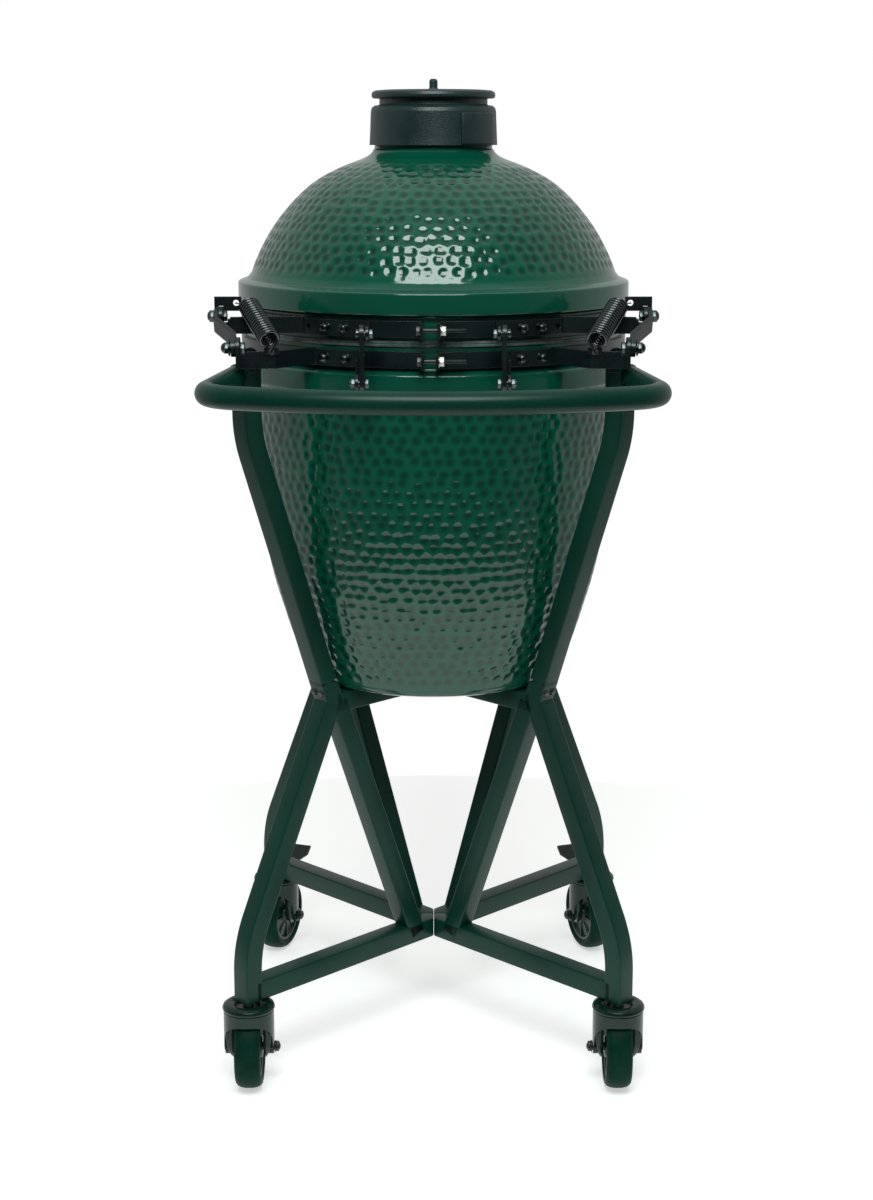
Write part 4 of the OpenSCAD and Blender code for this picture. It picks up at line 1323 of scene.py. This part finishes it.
@dataclass
class Wheel:
    """One caster: rubber tread on a moulded core, under a round housing.

    Attributes:
        corner: Its name.
        sx: Side of the egg, 1 for the right.
        sy: 1 for the front.
        stem: Distance of the stem from the egg's axis along x and y.
        trail: Distance from the stem to the axle.
        axle: Height of the axle.
        swivel: Turn of the front casters, in degrees.
        tread: Section of the tread, as radius and distance from the middle.
        hub: Section of the core.
        crown: Section of the housing's rolled top, with a recess round the stem.
        cheek: Side view of the plate inside each cheek, height first.
        cheek_taper: Heights between which those plates grow to their full thickness.
        cheek_thick: That thickness.
        cheek_least: Share of it at their feet.
        cheek_at: Distance of the plates' inner faces from the middle.
        boss: Section of the boss round the axle.
        hood_r: Outer radius of the hood.
        hood_wall: Its thickness.
        hood_top: Its upper edge.
        hood_foot: Its lower edge at both sides.
        arch: Tops of the openings behind and in front.
        arch_half: Half the width of both openings.
    """

    corner: str
    sx: int
    sy: int
    stem: float = 223.45
    trail: float = 8
    axle: float = 50
    swivel: float = 20
    tread: tuple[Point, ...] = ((37.9, -13.6), (42, -15.7), (44.6, -15.6), (47.4, -13.2), (49.2, -9.2),
                                (50, -4), (50, 4), (49.2, 9.2), (47.4, 13.2), (44.6, 15.6), (42, 15.7),
                                (37.9, 13.6))
    hub: tuple[Point, ...] = ((5.06, -15.4), (13, -15.4), (14.4, -11), (32, -8.6), (34.5, -13), (37.9, -13.4),
                              (37.9, 13.4), (34.5, 13), (32, 8.6), (14.4, 11), (13, 15.4), (5.06, 15.4))
    crown: tuple[Point, ...] = ((6.2, 101), (6.2, 105.6), (14.6, 105.6), (17.4, 109.6), (21.6, 111.9),
                                (26.6, 111.3), (30.6, 108.8), (32, 105.6), (31.2, 103.6), (29, 102.6),
                                (29, 101))
    cheek: tuple[Point, ...] = ((38, 3), (38, 11), (46, 13), (101, 13), (101, -13), (62, -13), (46, -5))
    cheek_taper: tuple[float, float] = (38, 56)
    cheek_thick: float = 9.2
    cheek_least: float = 0.3
    cheek_at: float = 17.8
    boss: tuple[Point, ...] = ((5.1, 17.8), (9, 17.8), (9, 29.4), (5.1, 29.4))
    hood_r: float = 30.6
    hood_wall: float = 2.8
    hood_top: float = 102.4
    hood_foot: float = 56
    arch: tuple[float, float] = (89, 99)
    arch_half: float = 29.4

    def stand(self) -> Matrix:
        """Where the caster stands.

        Returns:
            The place of its stem on the floor, with its swivel.
        """
        yaw = math.radians(self.sx * self.swivel) if self.sy > 0 else 0.0
        return (Matrix.Translation((mm(self.sx * self.stem), mm(self.sy * self.stem), 0))
                @ Matrix.Rotation(yaw, 4, "Z"))

    def place(self) -> Matrix:
        """Where the wheel's axle lies: the mesh's z axis becomes the axle."""
        return (self.stand() @ Matrix.Translation((0, mm(self.trail), mm(self.axle)))
                @ Matrix.Rotation(math.pi / 2, 4, "Y"))

    def hood(self) -> bmesh.types.BMesh:
        """Round shell over the wheel, with an arched opening in front and behind.

        Returns:
            Its mesh, standing on its stem's axis.
        """
        bm = bmesh.new()
        steps, rows = 96, 10
        columns = []
        for i in range(steps):
            turn = FULL_TURN * i / steps
            share = min(abs(self.hood_r * math.cos(turn)) / self.arch_half, 1.0)
            top = self.arch[0] if math.sin(turn) < 0 else self.arch[1]
            foot = self.hood_foot + (top - self.hood_foot) * (1 - share ** 3) ** (1 / 3)
            column = []
            for radius in (self.hood_r, self.hood_r - self.hood_wall):
                level = [self.hood_top + (foot - self.hood_top) * k / rows for k in range(rows + 1)]
                column.append([bm.verts.new((mm(radius * math.cos(turn)), mm(radius * math.sin(turn)), mm(z)))
                               for z in level])
            columns.append([*column[0], *reversed(column[1])])
        for here, there in zip(columns, columns[1:] + columns[:1]):
            for k in range(len(here)):
                after = (k + 1) % len(here)
                bm.faces.new((here[k], there[k], there[after], here[after]))
        bmesh.ops.recalc_face_normals(bm, faces=bm.faces)
        return bm

    def housing(self, shop: Workshop) -> None:
        """Make the housing and its axle.

        Args:
            shop: Where the pieces are finished.
        """
        body = f"caster_{self.corner}"
        rolled = Shape.fillet(list(self.crown), 1.6, 4, closed=True)
        disc = [(0.01, 101), (29, 101), (29, 102.6), (0.01, 102.6)]
        parts = [self.hood(), Shape.turned(rolled, 96, closed=True), Shape.turned(disc, 64)]
        low, high = self.cheek_taper
        for side in (-1, 1):
            plate = Shape.slab([(-z, side * y) for z, y in self.cheek][::side], self.cheek_thick, 0.8, 2)
            bmesh.ops.transform(plate, matrix=Matrix.Rotation(math.pi / 2, 4, "Y"), verts=plate.verts)
            for vert in plate.verts:
                share = (vert.co.z * 1000 - low) / (high - low)
                vert.co.x *= self.cheek_least + (1 - self.cheek_least) * min(max(share, 0.0), 1.0)
            turn = (Matrix.Rotation(0 if side > 0 else math.pi, 4, "Z")
                    @ Matrix.Translation((mm(self.cheek_at), 0, 0)))
            bmesh.ops.transform(plate, matrix=turn, verts=plate.verts)
            parts.append(plate)
            boss = Shape.turned(list(self.boss), 48, closed=True)
            turn = (Matrix.Translation((0, mm(self.trail), mm(self.axle)))
                    @ Matrix.Rotation(side * math.pi / 2, 4, "Y"))
            bmesh.ops.transform(boss, matrix=turn, verts=boss.verts)
            parts.append(boss)
            if self.sy > 0:
                lug = Shape.slab([(14, 22), (19, 22), (19, 37), (14, 37)], 9.4, 0.8, 2)
                turn = Matrix.Translation((0 if side > 0 else -mm(33), 0, mm(94.4)))
                bmesh.ops.transform(lug, matrix=turn, verts=lug.verts)
                parts.append(lug)
        shop.piece(f"housing_{self.corner}", Shape.join(parts), HOUSING, body,
                   replaces=(f"caster_fork_{self.corner}",), turn=self.stand())
        knob = Fasteners.bolt([("round", 5, -30.8, 30.8), ("round", 7.2, 30.4, 31.8),
                               ("hex", 6.4, 31.8, 35.6), ("dome", 4.2, 35.5, 37.4)])
        lay = self.place() @ Matrix.Rotation(0 if self.sx < 0 else math.pi, 4, "X")
        shop.piece(f"axle_{self.corner}", knob, BLACK, body, replaces=(f"caster_axle_{self.corner}",),
                   turn=lay, sharp=25)

    def build(self, shop: Workshop) -> None:
        """Make the caster: housing, axle, tread and core.

        Args:
            shop: Where the pieces are finished.
        """
        self.housing(shop)
        body = f"wheel_{self.corner}"
        tread = Shape.turned(Shape.fillet(list(self.tread), 1.2, 3, closed=True), 96, closed=True)
        shop.piece(f"tread_{self.corner}", tread, TREAD, body, replaces=(f"caster_tyre_{self.corner}",),
                   turn=self.place())
        core = Shape.turned(Shape.fillet(list(self.hub), 0.9, 3, closed=True), 96, closed=True)
        ribs = [core]
        for side in (-1, 1):
            for i in range(8):
                rib = Shape.slab([(13.2, -1.1), (33, -1.1), (33, 1.1), (13.2, 1.1)], 3.4, 0.5, 2)
                lift = Matrix.Translation((0, 0, mm(8.8 if side > 0 else -12.2)))
                spin = Matrix.Rotation(FULL_TURN * i / 8, 4, "Z")
                bmesh.ops.transform(rib, matrix=spin @ lift, verts=rib.verts)
                ribs.append(rib)
        shop.piece(f"core_{self.corner}", Shape.join(ribs), CORE, body,
                   replaces=(f"caster_core_{self.corner}",), turn=self.place())


@dataclass
class CapBoss:
    """Raised pad on the side of the cast cap.

    Attributes:
        turn: First and last angle from the rear, in degrees.
        reach: Inner and outer radius.
        span: Lower and upper edge.
    """

    turn: tuple[float, float] = (25, 63)
    reach: tuple[float, float] = (73, 80.2)
    span: tuple[float, float] = (1122.5, 1159)

    def build(self, shop: Workshop) -> None:
        """Make the pad.

        Args:
            shop: Where the pieces are finished.
        """
        steps = 14
        first, last = self.turn
        turns = [math.radians(first + (last - first) * i / steps) for i in range(steps + 1)]
        outer = [(self.reach[1] * math.sin(t), -self.reach[1] * math.cos(t)) for t in turns]
        inner = [(self.reach[0] * math.sin(t), -self.reach[0] * math.cos(t)) for t in reversed(turns)]
        pad = Shape.slab(outer + inner, self.span[1] - self.span[0], 1.5, 3)
        bmesh.ops.translate(pad, verts=pad.verts, vec=(0, 0, mm(self.span[0])))
        shop.piece("cap_pad", pad, IRON, "lid")


@dataclass
class LidHandle:
    """Grip across the front of the lid.

    Attributes:
        reach: Distance of its axis from the egg's axis.
        level: Height of its axis.
        length: Its length.
        radius: Its radius.
    """

    reach: float = 325
    level: float = 930
    length: float = 132
    radius: float = 14

    def build(self, shop: Workshop) -> None:
        """Make the grip, with shallow rings at both ends.

        Args:
            shop: Where the pieces are finished.
        """
        half, r = self.length / 2, self.radius
        profile: list[Point] = [(0.01, -half), (11, -half), (13.4, -half + 1.4), (r, -half + 4),
                                (r, -half + 8), (r - 0.8, -half + 9), (r - 0.8, -half + 11), (r, -half + 12)]
        profile += [(rad, -z) for rad, z in reversed(profile)]
        grip = Shape.turned(Shape.fillet(profile, 0.8, 3), 96)
        lay = Matrix.Translation((0, mm(self.reach), mm(self.level))) @ Matrix.Rotation(math.pi / 2, 4, "Y")
        shop.piece("lid_grip", grip, NYLON, "lid", replaces=("lid_handle_grip",), turn=lay)


@dataclass
class Gauge:
    """Dome thermometer: steel case, enamelled dial with marks and numbers, and the pointer's pin.

    Attributes:
        dome_r: Radius of the dome that carries it.
        dome_z: Height of the dome's centre.
        tilt: How far its axis rises above level, in degrees.
        first: The dial's first number.
        step: From one number's mark to the next.
        marks: How many marks the dial has.
        start: Angle of the first mark, from +y.
        sweep: Angle from the first mark to the last.
    """

    dome_r: float = 235
    dome_z: float = 893
    tilt: float = 24.4
    first: int = 50
    step: int = 50
    marks: int = 41
    start: float = 215
    sweep: float = 250

    def place(self) -> Matrix:
        """Where the gauge sits on the dome.

        Returns:
            The place that turns its own z axis into the line of its stem.
        """
        a = math.radians(self.tilt)
        spot = (0, mm(self.dome_r * math.cos(a)), mm(self.dome_z + self.dome_r * math.sin(a)))
        return Matrix.Translation(spot) @ Matrix.Rotation(a - math.pi / 2, 4, "X")

    def build(self, shop: Workshop) -> None:
        """Make the case, the dial and its printing.

        Args:
            shop: Where the pieces are finished.
        """
        case = [(0.01, -60), (3.6, -60), (4.5, -58), (4.5, 1), (24, 1), (27, 2.4), (27.5, 5), (27.5, 13),
                (26.6, 14), (24.2, 14), (23.6, 12.6), (24.7, 12.3), (24.7, 4), (0.01, 4)]
        shop.piece("gauge_case", Shape.turned(Shape.fillet(case, 0.6, 3), 96), STEEL, "lid",
                   replaces=("thermometer_case",), turn=self.place())
        dial = Shape.turned([(0.01, 4.1), (24.6, 4.1), (24.6, 4.5), (0.01, 4.5)], 64)
        shop.piece("gauge_dial", dial, DIAL, "lid", turn=self.place())
        pivot = Shape.turned([(0.01, 4.4), (1, 4.4), (1, 8), (0.01, 8)], 24)
        shop.piece("gauge_pivot", pivot, STEEL, "lid", turn=self.place())
        parts = []
        for i in range(self.marks):
            long = i % 5 == 0
            bar = Shape.slab([(-0.22, 19.5 if long else 21.2), (0.22, 19.5 if long else 21.2), (0.22, 23.4),
                              (-0.22, 23.4)], 0.12, 0)
            turn = math.radians(self.start - self.sweep * i / (self.marks - 1))
            lift = Matrix.Translation((0, 0, mm(4.45)))
            bmesh.ops.transform(bar, matrix=Matrix.Rotation(turn, 4, "Z") @ lift, verts=bar.verts)
            parts.append(bar)
        shop.piece("gauge_marks", Shape.join(parts), INK, "lid", turn=self.place())
        numbers = [self.number(str(self.first + 2 * self.step * k),
                               math.radians(self.start - self.sweep * k / 8)) for k in range(0, 9, 2)]
        shop.piece("gauge_numbers", Shape.join(numbers), INK, "lid", turn=self.place())

    def number(self, text: str, turn: float) -> bmesh.types.BMesh:
        """One upright number on the dial, as a mesh.

        Args:
            text: The digits.
            turn: Angle of the number round the dial, from +y.

        Returns:
            Its mesh, in the gauge's own axes.
        """
        curve = bpy.data.curves.new("digits", "FONT")
        curve.body = text
        curve.size = mm(4.4)
        curve.align_x, curve.align_y = "CENTER", "CENTER"
        curve.extrude = mm(0.06)
        holder = bpy.data.objects.new("digits", curve)
        mesh = bpy.data.meshes.new_from_object(holder)
        bm = bmesh.new()
        bm.from_mesh(mesh)
        bpy.data.objects.remove(holder)
        bpy.data.curves.remove(curve)
        bpy.data.meshes.remove(mesh)
        spot = Vector((-mm(15.6) * math.sin(turn), mm(15.6) * math.cos(turn), mm(4.52)))
        upright = Matrix.Translation(spot) @ Matrix.Rotation(math.pi, 4, "Z")
        bmesh.ops.transform(bm, matrix=upright, verts=bm.verts)
        return bm


# ---------------------------------------------------------------- studio


@dataclass
class Studio:
    """Floor, soft lights and the camera, in the frame's metres.

    Attributes:
        camera_at: Place of the camera.
        look_down: How far it looks down, in degrees.
        lens: Its focal length, in millimetres.
        lamps: Name, size, power in watts, place, and the point that each lamp looks at.
        lamp_colour: Colour of all of them.
        front: Brightness of the room in front of the object.
        back: Brightness of the room behind it.
        backdrop: Brightness of the backdrop that the camera sees.
        table: Radius of the white table.
        table_glow: Light that shines through it.
    """

    camera_at: tuple[float, float, float] = (0.0037, -2.500, 1.134)
    look_down: float = 12.65
    lens: float = 62.25
    lamps: tuple = field(default=(
        ("front_softbox", (1.5, 1.1), 60.0, (-0.04, -1.8, 2.6), (0.0, 0.05, 1.0)),
        ("overhead", (3.0, 3.0), 8.0, (0.0, 0.2, 3.4), (0.0, 0.1, 0.6))))
    lamp_colour: str = "#EAF5F2"
    front: float = 0.06
    back: float = 0.55
    backdrop: float = 1.0
    table: float = 1.1
    table_glow: float = 0.5

    def build(self) -> None:
        """Set the stage."""
        floor_mesh = bpy.data.meshes.new("studio_floor")
        bm = bmesh.new()
        bmesh.ops.create_circle(bm, cap_ends=True, segments=96, radius=self.table)
        bm.to_mesh(floor_mesh)
        bm.free()
        floor = bpy.data.objects.new("studio_floor", floor_mesh)
        bpy.context.scene.collection.objects.link(floor)
        paper = bpy.data.materials.new("lit_white_acrylic")
        paper.use_nodes = True
        skin = paper.node_tree.nodes["Principled BSDF"]
        skin.inputs["Base Color"].default_value = linear("#F4F4F2")
        skin.inputs["Roughness"].default_value = 0.85
        skin.inputs["Emission Color"].default_value = linear("#FFFFFF")
        skin.inputs["Emission Strength"].default_value = self.table_glow
        floor_mesh.materials.append(paper)
        world = bpy.data.worlds.new("studio")
        world.use_nodes = True
        tree = world.node_tree
        way = add(tree, "ShaderNodeTexCoord", {}, {}).outputs["Generated"]
        depth = add(tree, "ShaderNodeSeparateXYZ", {}, {0: way}).outputs["Y"]
        room = add(tree, "ShaderNodeMapRange", {"interpolation_type": "SMOOTHSTEP"}, {
            "Value": depth, "From Min": -0.75, "From Max": 0.35,
            "To Min": self.front, "To Max": self.back})
        seen = add(tree, "ShaderNodeLightPath", {}, {}).outputs["Is Camera Ray"]
        level = add(tree, "ShaderNodeMix", {}, {0: seen, 2: room.outputs[0], 3: self.backdrop}).outputs[0]
        tree.links.new(level, tree.nodes["Background"].inputs["Strength"])
        tree.nodes["Background"].inputs["Color"].default_value = linear("#FFFFFF")
        bpy.context.scene.world = world
        bpy.context.scene.view_settings.view_transform = "Standard"
        for name, size, power, place, target in self.lamps:
            lamp = bpy.data.lights.new(name, "AREA")
            lamp.shape = "RECTANGLE"
            lamp.size, lamp.size_y = size
            lamp.energy = power
            lamp.color = linear(self.lamp_colour)[:3]
            holder = bpy.data.objects.new(name, lamp)
            holder.location = place
            holder.rotation_euler = (Vector(target) - Vector(place)).to_track_quat("-Z", "Y").to_euler()
            bpy.context.scene.collection.objects.link(holder)
        eye = bpy.data.cameras.new("camera")
        eye.lens = self.lens
        eye.sensor_width = 36.0
        eye.clip_end = 100.0
        holder = bpy.data.objects.new("camera", eye)
        holder.location = self.camera_at
        holder.rotation_euler = (math.radians(90 - self.look_down), 0, 0)
        bpy.context.scene.collection.objects.link(holder)
        bpy.context.scene.camera = holder


def dress_kept(nodes: dict[str, bpy.types.Object]) -> None:
    """Give each frame node that keeps its own shape its finish.

    Args:
        nodes: The frame's objects by node name.
    """
    for name, finish in KEPT.items():
        node = nodes[name]
        for place in node.material_slots:
            place.material = finish.material()


def main() -> None:
    """Build the looks round the frame."""
    logging.basicConfig(level=logging.INFO, format="%(name)s: %(message)s")
    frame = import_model()
    dress_kept(frame["nodes"])
    low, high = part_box("lid_dome")
    middle = (low + high) / 2
    shop = Workshop(shift=Vector((middle.x, middle.y, 0.0)))
    Egg().build(shop)
    Stand().build(shop)
    Springs().build(shop)
    Fasteners().build(shop)
    BandBolt("lower_band_bolt", "base", 886.5, -13, 6).build(shop)
    BandBolt("upper_band_bolt", "lid", 920.8, -14, 8).build(shop)
    for depth, sy in (("rear", -1), ("front", 1)):
        for side, sx in (("left", -1), ("right", 1)):
            Wheel(f"{depth}_{side}", sx, sy).build(shop)
    CapBoss().build(shop)
    LidHandle().build(shop)
    Gauge().build(shop)
    Studio().build()
    LOG.info("%d pieces", shop.made)


if __name__ == "__main__":
    main()
